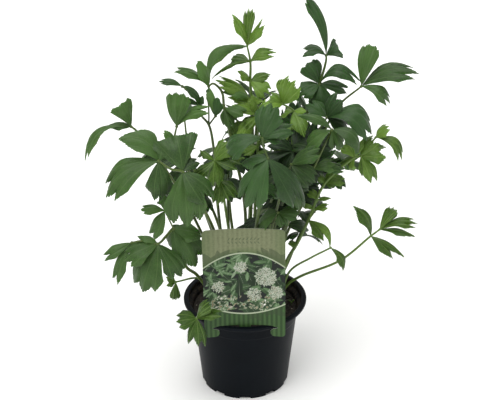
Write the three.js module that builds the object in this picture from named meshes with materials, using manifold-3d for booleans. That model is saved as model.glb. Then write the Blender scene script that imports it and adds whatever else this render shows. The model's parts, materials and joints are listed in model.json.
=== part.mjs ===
// A lovage plant in a round nursery pot, with a printed label clipped over the rim.
// Millimetres, +Z up. The origin is the middle of the pot's underside; the label faces -Y.
import * as THREE from 'three';
import { mergeVertices } from 'three/addons/utils/BufferGeometryUtils.js';
import Module from 'manifold-3d';

const wasm = await Module();
wasm.setup();

// Pot: moulded plastic with a flanged rim, a 12 cm nursery size
const RIM_RADIUS = 60;
const RIM_INNER_RADIUS = 55;
const RIM_HEIGHT = 2.8;
const RIM_EDGE = 0.6;
const RIM_TAPER = 0.2;
const POT_HEIGHT = 92;
const BASE_RADIUS = 42.7;
const WALL_TOP_RADIUS = 52;
const WALL_TOP_HEIGHT = 84;
const SHOULDER_RADIUS = 56.4;
const SHOULDER_HEIGHT = 87.6;
const WALL = 1.5;
const FLOOR = 2.4;
const ROUND_SIDES = 36;
const NOTCH_COUNT = 10;
const NOTCH_WIDTH = 11;
const NOTCH_RISE = 3;
const NOTCH_DEPTH = 2.4;

// Soil: fills the pot to a finger's width below the rim
const SOIL_TOP = 83;
const SOIL_MOUND = 2;
const MOUND_SHARE = 0.6;
const FIT_GAP = 0.3;
const HOLE_SIDES = 6;

// Label: a flexible card, bowed so that its tabs hang outside the rim and its tongue inside
const LABEL_HALF_WIDTH = 38;
const LABEL_TOP = 196.5;
const LABEL_THICKNESS = 0.8;
const LABEL_CORNER = 4;
const LABEL_CORNER_STEPS = 4;
const LABEL_MIDDLE_Y = -53.9;
const LABEL_BOW = 3.7;
const LABEL_BOW_STEPS = 8;
const SHEET_OVERHANG = 1.1;
const LABEL_ROLL_DEGREES = 1.5;
const TAB_BOTTOM = 81.5;
const TAB_TOP = 89.8;
const TAB_INNER_X = 24;
const SLOT_END_X = 31.5;
const SLOT_END_Z = 91.2;
const SLOT_EDGE = 93.2;
const TONGUE_HALF_WIDTH = 5.5;
const TONGUE_BOTTOM = 89;

// Stems and leaflets
const STEM_SIDES = 5;
const TWIG_SIDES = 4;
const STEM_ROOT_DEPTH = 14;
const STEM_COLLAR = 2;
const STEM_TIP_RADIUS = 1.0;
const TWIG_RADIUS = 0.95;
const STEM_OVERRUN = 1.2;
const BLADE_THICKNESS = 0.85;
const BLADE_BASE_HALF_WIDTH = 0.6;
const BLADE_BASE_START = 0.9;
const BLADE_WAIST = 0.5;
const WEDGE_POWER = 0.7;
const BLADE_FOLD = 0.12;
const JOINT_RADIUS = 2.6;
const DEFAULT_ARCH = 0.1;
const SKYWARD = 0.87;
const TO_FRONT = -0.5;
const TO_BACK = 0.5;
const LEAF_GREEN = '#4c7341';
const YOUNG_GREEN = '#639238';
const DARK_GREEN = '#3c6041';
const YOUNG_FRONDS = ['crown_centre', 'inner_centre', 'upper_centre', 'centre_left', 'over_rim_left',
  'right_lean', 'right_sprig', 'low_right', 'low_left_sprig'];
const DARK_FRONDS = ['front_centre', 'upper_right', 'right_inner', 'left_inner', 'inner_left',
  'inner_right', 'inner_high'];

// A leaflet's far edge: [across, reach] from the left shoulder to the right one. Across is a
// share of the half width, reach a share of the length. Each high point is the tip of a lobe.
const TRIPLE = [
  [-1, 0.64], [-0.8, 0.9], [-0.44, 0.78], [-0.05, 1], [0.36, 0.76], [0.76, 0.92], [1, 0.64],
];
const PAIR = [[-1, 0.62], [-0.58, 1], [-0.04, 0.74], [0.6, 0.93], [1, 0.58]];
const FAN = [
  [-1, 0.6], [-0.78, 0.88], [-0.54, 0.78], [-0.2, 1], [0.08, 0.82], [0.5, 0.96], [0.72, 0.74], [1, 0.6],
];
const BLADE = [[-1, 0.52], [-0.6, 0.82], [0, 1], [0.66, 0.78], [1, 0.48]];
const SPEAR = [[-1, 0.5], [0, 1], [1, 0.44]];

// One leaflet grows `back` points before its shoot's end and reaches (dx, dy, dz) to its tip.
// A negative width mirrors its lobes. Roll, in degrees, turns the blade about that line. Arch
// and bow are how far its middle rises and curves sideways, as shares of its length.
function leaf(back, reach, width, pattern, roll = 0, arch = DEFAULT_ARCH, bow = 0) {
  return { back, reach, width, pattern, roll, arch, bow };
}

function shoot(route, leaves) {
  return { route, leaves };
}

// A frond stands at its foot in the soil. Facing is how much its blades turn to the front
// (negative) or the back (positive), while they all face the sky by SKYWARD. Its first shoot is
// the stem and starts at the foot.
function frond(name, foot, thickness, facing, shoots) {
  return { name, foot, thickness, facing, shoots };
}

const FRONDS = [
  frond('crown_centre', [2, 10], 3.8, TO_FRONT, [
    shoot([
      [4, 16, 140], [6, 22, 200], [7, 27, 250], [6, 29, 286], [5, 32, 305], [5, 32, 324],
      [2, 32, 340],
    ], [
      leaf(0, [-13, -6, 30], 14, PAIR),
      leaf(0, [0, 6, 34], 14, TRIPLE),
      leaf(0, [14, -4, 24], 15, PAIR),
      leaf(1, [23, -8, 11], 14, TRIPLE),
      leaf(1, [-18, 8, 0], 13, PAIR),
      leaf(1, [-33, -10, -9], 7, SPEAR, 50, 0.2),
      leaf(2, [19, 6, 5], 11, BLADE),
      leaf(3, [-29, -12, 29], 14, TRIPLE),
      leaf(3, [-21, 8, -14], 8, SPEAR),
    ]),
  ]),
  frond('inner_centre', [8, 4], 3.2, TO_FRONT, [
    shoot([[9, 8, 140], [10, 14, 200], [12, 18, 245], [12, 20, 276]], [
      leaf(0, [-6, -4, 18], 9, BLADE),
      leaf(0, [-22, -8, 16], 10, TRIPLE),
      leaf(0, [-22, -12, -17], 12, BLADE),
      leaf(0, [14, 8, 8], 12, PAIR),
    ]),
    shoot([[12, 18, 245], [16, 4, 266]], [
      leaf(0, [17, 6, 20], 20, PAIR),
      leaf(0, [26, -8, 11], 13, BLADE),
    ]),
  ]),
  frond('upper_centre', [12, -4], 3.2, TO_FRONT, [
    shoot([
      [18, -8, 140], [28, -10, 200], [38, -10, 260], [44, -10, 283], [44, -10, 293],
      [34, -10, 300],
    ], [
      leaf(0, [3, -4, 28], 24, FAN),
      leaf(0, [-18, -10, 3], 13, BLADE),
      leaf(1, [11, -4, 2], 8, SPEAR),
      leaf(1, [7, -12, -19], 14, BLADE),
    ]),
  ]),
  frond('left_upper', [-2, 2], 3.0, TO_FRONT, [
    shoot([
      [-6, 4, 150], [-10, 6, 210], [-12, 8, 254], [-19, 12, 286], [-21, 15, 301],
      [-29, 9, 312], [-33, 5, 311],
    ], [
      leaf(0, [-24, -8, 23], 24, PAIR),
      leaf(0, [34, 10, 36], 17, BLADE, 0, 0.1, -0.26),
      leaf(0, [1, -8, -20], 8, SPEAR),
      leaf(4, [8, -6, -22], 9, BLADE),
    ]),
  ]),
  frond('left_inner', [-10, -2], 2.8, TO_FRONT, [
    shoot([
      [-15, -2, 140], [-22, -3, 200], [-29, -2, 254], [-33, 0, 275], [-40, -2, 286],
      [-41, -4, 296],
    ], [
      leaf(0, [-37, -10, 28], 11, BLADE, 0, 0.2),
      leaf(0, [-25, 4, 8], 7, SPEAR),
    ]),
    shoot([[-33, 0, 275], [-27, 2, 283]], [
      leaf(0, [2, -5, 18], 10, BLADE),
    ]),
  ]),
  frond('left_middle', [-14, 4], 2.8, TO_FRONT, [
    shoot([[-22, 2, 130], [-36, -2, 180], [-54, -6, 235], [-64, -10, 264], [-62, -10, 278]], [
      leaf(0, [-3, -4, 30], 26, TRIPLE),
      leaf(0, [29, -6, 17], 13, BLADE),
    ]),
  ]),
  frond('far_left', [-18, -2], 2.8, TO_FRONT, [
    shoot([[-28, -8, 130], [-46, -18, 185], [-70, -28, 240], [-97, -34, 285], [-101, -35, 289]], [
      leaf(0, [-9, -4, 27], 20, PAIR),
      leaf(0, [-38, -12, -20], 10, TRIPLE, 20, 0.25),
      leaf(0, [-20, 14, 16], 14, BLADE),
    ]),
  ]),
  frond('front_left', [-12, -10], 3.4, TO_FRONT, [
    shoot([
      [-18, -24, 130], [-28, -40, 185], [-40, -58, 225], [-54, -75, 264], [-64, -74, 270],
      [-75, -70, 272],
    ], [
      leaf(0, [-27, 6, 27], 25, PAIR),
      leaf(0, [-43, -10, -26], 25, TRIPLE),
      leaf(0, [0, -8, -37], 20, TRIPLE),
      leaf(0, [7, 6, 20], 12, SPEAR),
      leaf(2, [-4, 14, 24], 36, FAN),
      leaf(2, [4, -12, -47], 30, TRIPLE),
      leaf(2, [22, -10, -22], 20, PAIR),
      leaf(2, [11, 10, 5], 12, SPEAR),
    ]),
  ]),
  frond('low_left', [-20, -8], 3.0, TO_FRONT, [
    shoot([
      [-30, -14, 100], [-46, -25, 131], [-55, -36, 146], [-65, -50, 194], [-71, -55, 190],
      [-79, -60, 184], [-92, -58, 186], [-103, -56, 183],
    ], [
      leaf(0, [-25, -6, -12], 11, BLADE),
      leaf(0, [-14, -10, -33], 11, BLADE),
      leaf(2, [-27, -8, -12], 22, TRIPLE),
      leaf(2, [-13, -12, -38], 28, TRIPLE),
      leaf(2, [17, -8, -29], 22, TRIPLE),
      leaf(4, [16, 3, -34], 34, TRIPLE),
    ]),
    shoot([[-65, -50, 194], [-72, -56, 216]], [
      leaf(0, [-21, -6, 5], 9, BLADE),
      leaf(0, [-2, 4, 17], 9, BLADE),
      leaf(0, [-21, -8, -19], 10, BLADE),
    ]),
  ]),
  frond('low_left_sprig', [-26, 2], 2.4, TO_FRONT, [
    shoot([[-36, -6, 100], [-45, -12, 119], [-66, -22, 121]], [
      leaf(0, [-2, -6, -14], 12, TRIPLE),
      leaf(0, [-14, -2, -6], 8, SPEAR),
    ]),
  ]),
  frond('over_rim_left', [-24, -18], 2.4, TO_FRONT, [
    shoot([[-33, -29, 90], [-42, -40, 94.2], [-45, -52, 101], [-45, -60, 104]], [
      leaf(0, [-18, -4, -3], 18, TRIPLE),
      leaf(0, [11, -10, 19], 13, PAIR),
      leaf(0, [22, -10, 12], 11, BLADE),
      leaf(0, [-10, -6, -19], 10, BLADE),
      leaf(0, [1, -6, -26], 14, PAIR),
    ]),
  ]),
  frond('centre_left', [-6, -8], 3.0, TO_FRONT, [
    shoot([[-10, -16, 130], [-16, -30, 190], [-22, -44, 240], [-27, -50, 263]], [
      leaf(0, [14, 2, 19], 16, FAN),
      leaf(0, [-13, 2, 8], 7, SPEAR),
      leaf(0, [-20, -8, -3], 11, BLADE),
      leaf(0, [2, -8, -40], 13, TRIPLE),
      leaf(0, [17, -10, -30], 17, TRIPLE),
      leaf(0, [20, -6, -5], 7, PAIR),
    ]),
  ]),
  frond('front_centre', [4, -12], 3.8, TO_FRONT, [
    shoot([[6, -24, 130], [10, -44, 190], [16, -64, 245], [20, -75, 277]], [
      leaf(0, [-19, -10, -38], 28, TRIPLE),
      leaf(0, [24, -8, -40], 28, TRIPLE),
      leaf(0, [-34, 6, 3], 15, BLADE),
      leaf(0, [-21, 10, -8], 11, BLADE),
    ]),
  ]),
  frond('front_right', [14, -12], 3.0, TO_FRONT, [
    shoot([[18, -20, 130], [26, -32, 190], [36, -45, 240], [41, -50, 259]], [
      leaf(0, [22, -6, -15], 18, TRIPLE),
      leaf(0, [24, -4, 18], 16, TRIPLE),
    ]),
    shoot([[26, -32, 190], [30, -52, 212]], [
      leaf(0, [-22, -12, -10], 15, BLADE),
      leaf(0, [6, -8, -11], 11, PAIR),
      leaf(0, [19, -4, 1], 16, TRIPLE),
    ]),
  ]),
  frond('upper_right', [10, 10], 3.2, TO_FRONT, [
    shoot([
      [16, 10, 140], [30, 12, 200], [50, 14, 260], [68, 15, 309], [74, 22, 330],
      [74, 25, 337],
    ], [
      leaf(0, [-16, 14, 45], 15, BLADE, 0, 0.1, 0.1),
      leaf(0, [-18, -6, 1], 13, PAIR),
      leaf(0, [16, -2, 2], 13, PAIR),
      leaf(2, [-12, 4, 20], 19, PAIR),
      leaf(2, [36, -8, 1], 15, PAIR, 0, 0.3),
      leaf(2, [8, 8, -8], 10, SPEAR),
      leaf(2, [20, 8, -16], 15, PAIR),
      leaf(2, [2, -10, -21], 22, TRIPLE),
      leaf(2, [-20, -8, -6], 20, FAN),
    ]),
  ]),
  frond('far_right', [18, 4], 2.8, TO_FRONT, [
    shoot([[28, 6, 130], [46, 8, 190], [68, 9, 250], [86, 10, 290], [106, 10, 309]], [
      leaf(0, [7, 6, 37], 20, PAIR),
      leaf(0, [47, -10, 18], 21, TRIPLE),
      leaf(0, [23, -8, -10], 14, TRIPLE),
    ]),
  ]),
  frond('right_inner', [16, -2], 3.0, TO_FRONT, [
    shoot([[22, -3, 140], [36, -5, 200], [56, -8, 252], [74, -10, 287]], [
      leaf(0, [40, -6, -2], 30, TRIPLE),
      leaf(0, [-16, 6, 14], 18, PAIR),
      leaf(0, [10, -2, 22], 18, PAIR),
    ]),
  ]),
  frond('right_front', [20, -8], 2.8, TO_FRONT, [
    shoot([[26, -14, 130], [42, -22, 190], [62, -30, 245], [77, -35, 286]], [
      leaf(0, [-18, 0, -13], 17, TRIPLE),
      leaf(0, [22, -6, -19], 15, BLADE, 0, 0.25),
      leaf(0, [-29, 2, 14], 8, SPEAR, 0, 0.2),
    ]),
  ]),
  frond('right_lean', [30, 4], 3.0, TO_FRONT, [
    shoot([
      [41, 0, 133], [50, 0, 151], [60, -5, 179], [74, -10, 220], [100, -15, 249],
      [113, -15, 248], [119, -10, 267],
    ], [
      leaf(0, [25, -6, -21], 16, FAN, 0, 0.2),
      leaf(1, [6, 4, 19], 17, PAIR),
      leaf(1, [14, -2, 4], 12, PAIR),
      leaf(1, [7, -6, -21], 11, PAIR),
      leaf(2, [-4, 6, -16], 11, BLADE),
      leaf(3, [12, 8, 10], 11, BLADE),
      leaf(4, [16, -8, -14], 10, BLADE),
      leaf(4, [-6, -6, -18], 9, BLADE),
      leaf(4, [20, -10, -22], 6, SPEAR, 0, 0.35),
    ]),
  ]),
  frond('right_sprig', [26, -10], 2.2, TO_FRONT, [
    shoot([[34, -14, 100], [43, -18, 131], [62, -26, 152], [80, -30, 163]], [
      leaf(0, [12, -4, -20], 10, BLADE),
    ]),
  ]),
  frond('low_right', [32, -4], 2.6, TO_FRONT, [
    shoot([[41, -1, 105], [53, -5, 117], [91, -15, 141], [118, -20, 170], [126, -20, 177]], [
      leaf(0, [13, 4, 20], 12, PAIR),
      leaf(0, [35, -8, 10], 14, TRIPLE),
      leaf(0, [35, 4, -9], 7, SPEAR),
      leaf(1, [-16, 4, 30], 13, BLADE),
      leaf(1, [26, -8, -19], 13, PAIR),
    ]),
  ]),
  frond('inner_left', [-8, 9], 3.0, TO_FRONT, [
    shoot([[-12, 10, 150], [-16, 12, 210], [-14, 14, 246]], [
      leaf(0, [-18, 4, 16], 15, TRIPLE),
      leaf(0, [14, 8, 22], 15, PAIR),
      leaf(0, [-4, 16, -18], 15, BLADE),
      leaf(0, [-17, 2, -14], 14, PAIR),
    ]),
  ]),
  frond('inner_right', [24, -2], 2.8, TO_FRONT, [
    shoot([[33, 14, 140], [46, 23, 190], [60, 27, 212]], [
      leaf(0, [27, -6, -8], 18, TRIPLE),
      leaf(0, [-16, -6, -12], 15, BLADE),
      leaf(0, [6, 6, 24], 18, PAIR),
      leaf(0, [24, 8, 12], 16, PAIR),
    ]),
  ]),
  frond('inner_high', [6, -4], 2.8, TO_FRONT, [
    shoot([[9, -9, 140], [20, -16, 190], [34, -25, 238], [44, -28, 262]], [
      leaf(0, [-24, 2, 12], 18, TRIPLE),
      leaf(0, [8, -2, 30], 18, TRIPLE),
      leaf(0, [-14, -8, -22], 16, PAIR),
      leaf(0, [14, 6, 10], 14, BLADE),
    ]),
  ]),
  frond('back_left', [-14, 14], 3.0, TO_BACK, [
    shoot([[-30, 38, 150], [-58, 66, 200], [-78, 80, 222]], [
      leaf(0, [-30, 8, 22], 24, TRIPLE),
      leaf(0, [-34, 20, -16], 26, TRIPLE),
      leaf(0, [-10, 34, -6], 24, PAIR),
      leaf(1, [-14, 4, 30], 22, TRIPLE),
      leaf(1, [18, 26, 4], 20, PAIR),
    ]),
  ]),
  frond('back_left_high', [-8, 18], 3.0, TO_BACK, [
    shoot([[-20, 38, 160], [-38, 60, 226], [-50, 68, 258]], [
      leaf(0, [-20, 4, 26], 22, PAIR),
      leaf(0, [-28, 20, -6], 24, TRIPLE),
      leaf(0, [10, 26, 12], 24, TRIPLE),
      leaf(1, [26, 16, 8], 22, TRIPLE),
      leaf(1, [-6, 30, -18], 18, BLADE),
    ]),
  ]),
  frond('back_centre_left', [-2, 22], 3.0, TO_BACK, [
    shoot([[-8, 48, 150], [-18, 84, 196], [-24, 100, 212]], [
      leaf(0, [-24, 22, 10], 24, TRIPLE),
      leaf(0, [-4, 30, -22], 28, TRIPLE),
      leaf(0, [24, 20, -4], 24, PAIR),
      leaf(1, [-30, 4, 4], 22, TRIPLE),
      leaf(1, [22, -2, 18], 20, PAIR),
    ]),
  ]),
  frond('back_centre', [4, 18], 3.4, TO_BACK, [
    shoot([[6, 34, 170], [10, 50, 236], [12, 58, 268]], [
      leaf(0, [-20, 14, 24], 24, TRIPLE),
      leaf(0, [2, 34, 6], 26, FAN),
      leaf(0, [24, 14, 16], 22, PAIR),
      leaf(1, [-28, 12, 6], 22, PAIR),
      leaf(1, [28, 14, 0], 22, TRIPLE),
    ]),
  ]),
  frond('back_centre_right', [10, 20], 3.0, TO_BACK, [
    shoot([[20, 50, 150], [34, 86, 192], [40, 102, 206]], [
      leaf(0, [26, 20, 8], 24, TRIPLE),
      leaf(0, [6, 28, -24], 28, TRIPLE),
      leaf(0, [-22, 24, 0], 22, PAIR),
      leaf(1, [30, 4, -6], 22, PAIR),
      leaf(1, [-18, 2, 20], 20, TRIPLE),
    ]),
  ]),
  frond('back_right_high', [16, 14], 3.0, TO_BACK, [
    shoot([[30, 32, 170], [48, 50, 230], [60, 56, 256]], [
      leaf(0, [-12, 12, 28], 22, TRIPLE),
      leaf(0, [26, 20, 8], 24, TRIPLE),
      leaf(0, [2, 32, -10], 22, PAIR),
      leaf(1, [28, 4, -14], 20, TRIPLE),
      leaf(1, [-20, 20, -4], 18, BLADE),
    ]),
  ]),
  frond('back_right', [22, 12], 2.8, TO_BACK, [
    shoot([[44, 34, 150], [76, 60, 190], [96, 70, 204]], [
      leaf(0, [34, 10, 12], 24, TRIPLE),
      leaf(0, [24, 26, -20], 26, TRIPLE),
      leaf(0, [-4, 32, -2], 22, PAIR),
      leaf(1, [14, -4, 28], 22, PAIR),
      leaf(1, [-14, 28, -8], 20, TRIPLE),
    ]),
  ]),
  frond('back_low_left', [-20, 12], 2.6, TO_BACK, [
    shoot([[-34, 30, 108], [-58, 54, 136], [-76, 66, 146]], [
      leaf(0, [-34, 10, 0], 22, TRIPLE),
      leaf(0, [-16, 28, -22], 24, TRIPLE),
      leaf(0, [10, 26, 2], 18, PAIR),
      leaf(1, [-22, -4, 16], 18, BLADE),
    ]),
  ]),
  frond('back_low_right', [27, 15], 2.6, TO_BACK, [
    shoot([[42, 34, 108], [66, 58, 134], [82, 70, 144]], [
      leaf(0, [32, 16, 6], 22, TRIPLE),
      leaf(0, [16, 24, -24], 24, TRIPLE),
      leaf(0, [-12, 26, 4], 18, PAIR),
      leaf(1, [26, -8, 6], 18, BLADE),
    ]),
  ]),
  frond('back_low_centre', [3, 29], 2.6, TO_BACK, [
    shoot([[3, 50, 106], [0, 78, 128], [-4, 98, 138]], [
      leaf(0, [-24, 20, -10], 24, TRIPLE),
      leaf(0, [2, 28, -26], 26, TRIPLE),
      leaf(0, [26, 16, -8], 22, PAIR),
      leaf(1, [-28, 4, 2], 18, BLADE),
    ]),
  ]),
];

function toSolid(geometry) {
  const bare = geometry.index ? geometry.toNonIndexed() : geometry.clone();
  bare.deleteAttribute('normal');
  bare.deleteAttribute('uv');
  const merged = mergeVertices(bare, 1e-4);
  return new wasm.Manifold(new wasm.Mesh({
    numProp: 3,
    vertProperties: new Float32Array(merged.attributes.position.array),
    triVerts: new Uint32Array(merged.index.array),
  }));
}

function toGeometry(solid) {
  const mesh = solid.getMesh();
  const geometry = new THREE.BufferGeometry();
  geometry.setAttribute('position', new THREE.BufferAttribute(mesh.vertProperties, 3));
  geometry.setIndex(new THREE.BufferAttribute(mesh.triVerts, 1));
  geometry.computeVertexNormals();
  return geometry;
}

function indexedSolid(points, triangles) {
  const geometry = new THREE.BufferGeometry();
  const flat = points.flatMap((point) => [point.x, point.y, point.z]);
  geometry.setAttribute('position', new THREE.Float32BufferAttribute(flat, 3));
  geometry.setIndex(triangles.flat());
  return toSolid(geometry);
}

// A round tapering stem: a ring of points at each point of its route, on a smooth curve, with
// a flat cap at each end. Each ring is turned as little as possible from the one before.
function stemSolid(route, radiusFrom, radiusTo, sides) {
  const curve = new THREE.CatmullRomCurve3(route, false, 'centripetal');
  const steps = route.length - 1;
  const normal = new THREE.Vector3(1, 0, 0);
  const points = [];
  for (let step = 0; step <= steps; step += 1) {
    const share = step / steps;
    const centre = curve.getPoint(share);
    const tangent = curve.getTangent(share);
    normal.addScaledVector(tangent, -normal.dot(tangent)).normalize();
    const binormal = new THREE.Vector3().crossVectors(tangent, normal);
    const radius = THREE.MathUtils.lerp(radiusFrom, radiusTo, share);
    for (let side = 0; side < sides; side += 1) {
      const angle = (side / sides) * 2 * Math.PI;
      points.push(centre.clone()
        .addScaledVector(normal, radius * Math.cos(angle))
        .addScaledVector(binormal, radius * Math.sin(angle)));
    }
  }
  const triangles = [];
  for (let step = 0; step < steps; step += 1) {
    for (let side = 0; side < sides; side += 1) {
      const here = step * sides + side;
      const next = step * sides + ((side + 1) % sides);
      triangles.push([here, next, next + sides], [here, next + sides, here + sides]);
    }
  }
  const last = steps * sides;
  for (let side = 1; side < sides - 1; side += 1) {
    triangles.push([0, side + 1, side], [last, last + side, last + side + 1]);
  }
  return indexedSolid(points, triangles);
}

// A leaflet is a wedge that widens from a narrow base to its lobed far edge. It has three rows:
// the base, a waist of three points, and the edge. Its two faces are the same surface, moved
// apart along one direction by the blade's thickness.
function leafletSolid(joint, { reach, width, pattern, roll, arch, bow }, facing) {
  const along = new THREE.Vector3(...reach);
  const length = along.length();
  along.normalize();
  const upright = new THREE.Vector3(0, facing, SKYWARD).normalize();
  const normal = upright.addScaledVector(along, -upright.dot(along)).normalize();
  normal.applyAxisAngle(along, THREE.MathUtils.degToRad(roll));
  const across = new THREE.Vector3().crossVectors(along, normal);
  const place = (side, out) => {
    const share = out / length;
    const bulge = 4 * length * share * (1 - share);
    const lift = arch * bulge - BLADE_FOLD * Math.abs(side);
    return joint.clone().addScaledVector(across, side + bow * bulge).addScaledVector(along, out)
      .addScaledVector(normal, lift);
  };
  const half = width / 2;
  const waist = Math.abs(half) * BLADE_WAIST ** WEDGE_POWER;
  const reachOf = (entry) => entry[1] * length;
  const edge = pattern.map((entry) => place(half * entry[0], reachOf(entry)));
  const waistReach = Math.min(reachOf(pattern[0]), reachOf(pattern[pattern.length - 1])) * BLADE_WAIST;
  if (half < 0) edge.reverse();
  const rows = [
    place(-BLADE_BASE_HALF_WIDTH, BLADE_BASE_START),
    place(BLADE_BASE_HALF_WIDTH, BLADE_BASE_START),
    place(-waist, waistReach),
    place(0, length * BLADE_WAIST),
    place(waist, waistReach),
    ...edge,
  ];
  const faces = [[0, 1, 3], [0, 3, 2], [1, 4, 3]];
  const first = 5;
  const middle = first + Math.ceil((edge.length - 1) / 2);
  for (let index = first; index < rows.length - 1; index += 1) {
    faces.push([index < middle ? 2 : 4, index + 1, index]);
    if (index + 1 === middle) faces.push([2, 3, middle]);
    if (index === middle) faces.push([3, 4, middle]);
  }
  const rim = [0, 1, 4];
  for (let index = rows.length - 1; index >= first; index -= 1) rim.push(index);
  rim.push(2);
  const halfThickness = BLADE_THICKNESS / 2;
  const upper = rows.map((point) => point.clone().addScaledVector(normal, halfThickness));
  const lower = rows.map((point) => point.clone().addScaledVector(normal, -halfThickness));
  const count = rows.length;
  const triangles = [];
  for (const [a, b, c] of faces) triangles.push([a, b, c], [a + count, c + count, b + count]);
  rim.forEach((here, index) => {
    const next = rim[(index + 1) % rim.length];
    triangles.push([here, here + count, next], [next, here + count, next + count]);
  });
  return indexedSolid([...upper, ...lower], triangles);
}

// A small knuckle where leaflets meet their stem
function jointSolid(centre) {
  const knuckle = new THREE.OctahedronGeometry(JOINT_RADIUS);
  knuckle.translate(centre.x, centre.y, centre.z);
  return toSolid(knuckle);
}

function frondSolid({ foot, thickness, facing, shoots }) {
  const root = [
    new THREE.Vector3(foot[0], foot[1], SOIL_TOP - STEM_ROOT_DEPTH),
    new THREE.Vector3(foot[0], foot[1], SOIL_TOP + STEM_COLLAR),
  ];
  const pieces = [];
  shoots.forEach(({ route, leaves }, order) => {
    const points = route.map((point) => new THREE.Vector3(...point));
    const line = order === 0 ? [...root, ...points] : points;
    const tip = line[line.length - 1];
    const heading = tip.clone().sub(line[line.length - 2]).normalize();
    const drawn = [...line.slice(0, -1), tip.clone().addScaledVector(heading, STEM_OVERRUN)];
    pieces.push(order === 0
      ? stemSolid(drawn, thickness / 2, STEM_TIP_RADIUS, STEM_SIDES)
      : stemSolid(drawn, TWIG_RADIUS, TWIG_RADIUS, TWIG_SIDES));
    for (const leaflet of leaves) {
      pieces.push(leafletSolid(line[line.length - 1 - leaflet.back], leaflet, facing));
    }
    for (const back of new Set(leaves.map((leaflet) => leaflet.back))) {
      pieces.push(jointSolid(line[line.length - 1 - back]));
    }
  });
  return pieces.reduce((whole, piece) => whole.add(piece));
}

function latheSolid(profile) {
  const points = profile.map(([radius, height]) => new THREE.Vector2(radius, height));
  const lathe = new THREE.LatheGeometry(points, ROUND_SIDES);
  lathe.rotateX(Math.PI / 2);
  return toSolid(lathe);
}

// The radius of the pot's inside wall at a height, below its shoulder
function innerRadius(height) {
  const slope = (WALL_TOP_RADIUS - BASE_RADIUS) / WALL_TOP_HEIGHT;
  return BASE_RADIUS - WALL + slope * height;
}

// A turned cup whose wall flares at the shoulder into a flat rim, with drainage notches cut
// round the bottom edge
function potSolid() {
  const rimBottom = POT_HEIGHT - RIM_HEIGHT;
  const cup = latheSolid([
    [0, 0], [BASE_RADIUS, 0], [WALL_TOP_RADIUS, WALL_TOP_HEIGHT], [SHOULDER_RADIUS, SHOULDER_HEIGHT],
    [SHOULDER_RADIUS, rimBottom], [RIM_RADIUS, rimBottom], [RIM_RADIUS, POT_HEIGHT - RIM_EDGE],
    [RIM_RADIUS - RIM_EDGE, POT_HEIGHT], [RIM_INNER_RADIUS + RIM_EDGE, POT_HEIGHT],
    [RIM_INNER_RADIUS, POT_HEIGHT - RIM_EDGE], [RIM_INNER_RADIUS - RIM_TAPER, SHOULDER_HEIGHT],
    [innerRadius(WALL_TOP_HEIGHT), WALL_TOP_HEIGHT], [innerRadius(FLOOR), FLOOR], [0, FLOOR],
  ]);
  const notch = new THREE.BoxGeometry(2 * NOTCH_DEPTH, NOTCH_WIDTH, 2 * NOTCH_RISE);
  notch.translate(BASE_RADIUS, 0, 0);
  notch.rotateZ(Math.PI / NOTCH_COUNT);
  let notched = cup;
  for (let index = 0; index < NOTCH_COUNT; index += 1) {
    notched = notched.subtract(toSolid(notch));
    notch.rotateZ(2 * Math.PI / NOTCH_COUNT);
  }
  return notched;
}

// A plug of soil with a low mound on top, and a plain hole for each stem
function soilSolid() {
  const bottom = FLOOR + FIT_GAP;
  const plug = latheSolid([
    [0, bottom], [innerRadius(bottom) - FIT_GAP, bottom],
    [innerRadius(SOIL_TOP) - FIT_GAP, SOIL_TOP - SOIL_MOUND],
    [MOUND_SHARE * innerRadius(SOIL_TOP), SOIL_TOP], [0, SOIL_TOP],
  ]);
  const depth = STEM_ROOT_DEPTH + FIT_GAP;
  return FRONDS.reduce((soil, { foot, thickness }) => {
    const radius = (thickness / 2 + FIT_GAP) / Math.cos(Math.PI / HOLE_SIDES);
    const hole = new THREE.CylinderGeometry(radius, radius, 2 * depth, HOLE_SIDES);
    hole.rotateX(Math.PI / 2);
    hole.translate(foot[0], foot[1], SOIL_TOP);
    return soil.subtract(toSolid(hole));
  }, plug);
}

// The card's outline seen from the front: rounded corners, two tabs, a slot above each tab
// and a short tongue in the middle
function labelOutline() {
  const outline = new THREE.Shape();
  const side = LABEL_HALF_WIDTH;
  const corner = LABEL_CORNER;
  const tab = (TAB_TOP - TAB_BOTTOM) / 2;
  outline.moveTo(-side, TAB_BOTTOM + corner);
  outline.absarc(-side + corner, TAB_BOTTOM + corner, corner, Math.PI, 1.5 * Math.PI);
  outline.absarc(-TAB_INNER_X - tab, TAB_BOTTOM + tab, tab, -0.5 * Math.PI, 0.5 * Math.PI);
  outline.lineTo(-SLOT_END_X, SLOT_END_Z);
  outline.lineTo(-TAB_INNER_X, SLOT_EDGE);
  outline.lineTo(-TONGUE_HALF_WIDTH, SLOT_EDGE);
  outline.lineTo(-TONGUE_HALF_WIDTH, TONGUE_BOTTOM);
  outline.lineTo(TONGUE_HALF_WIDTH, TONGUE_BOTTOM);
  outline.lineTo(TONGUE_HALF_WIDTH, SLOT_EDGE);
  outline.lineTo(TAB_INNER_X, SLOT_EDGE);
  outline.lineTo(SLOT_END_X, SLOT_END_Z);
  outline.absarc(TAB_INNER_X + tab, TAB_BOTTOM + tab, tab, 0.5 * Math.PI, 1.5 * Math.PI);
  outline.absarc(side - corner, TAB_BOTTOM + corner, corner, 1.5 * Math.PI, 2 * Math.PI);
  outline.absarc(side - corner, LABEL_TOP - corner, corner, 0, 0.5 * Math.PI);
  outline.absarc(-side + corner, LABEL_TOP - corner, corner, 0.5 * Math.PI, Math.PI);
  return outline;
}

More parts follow.
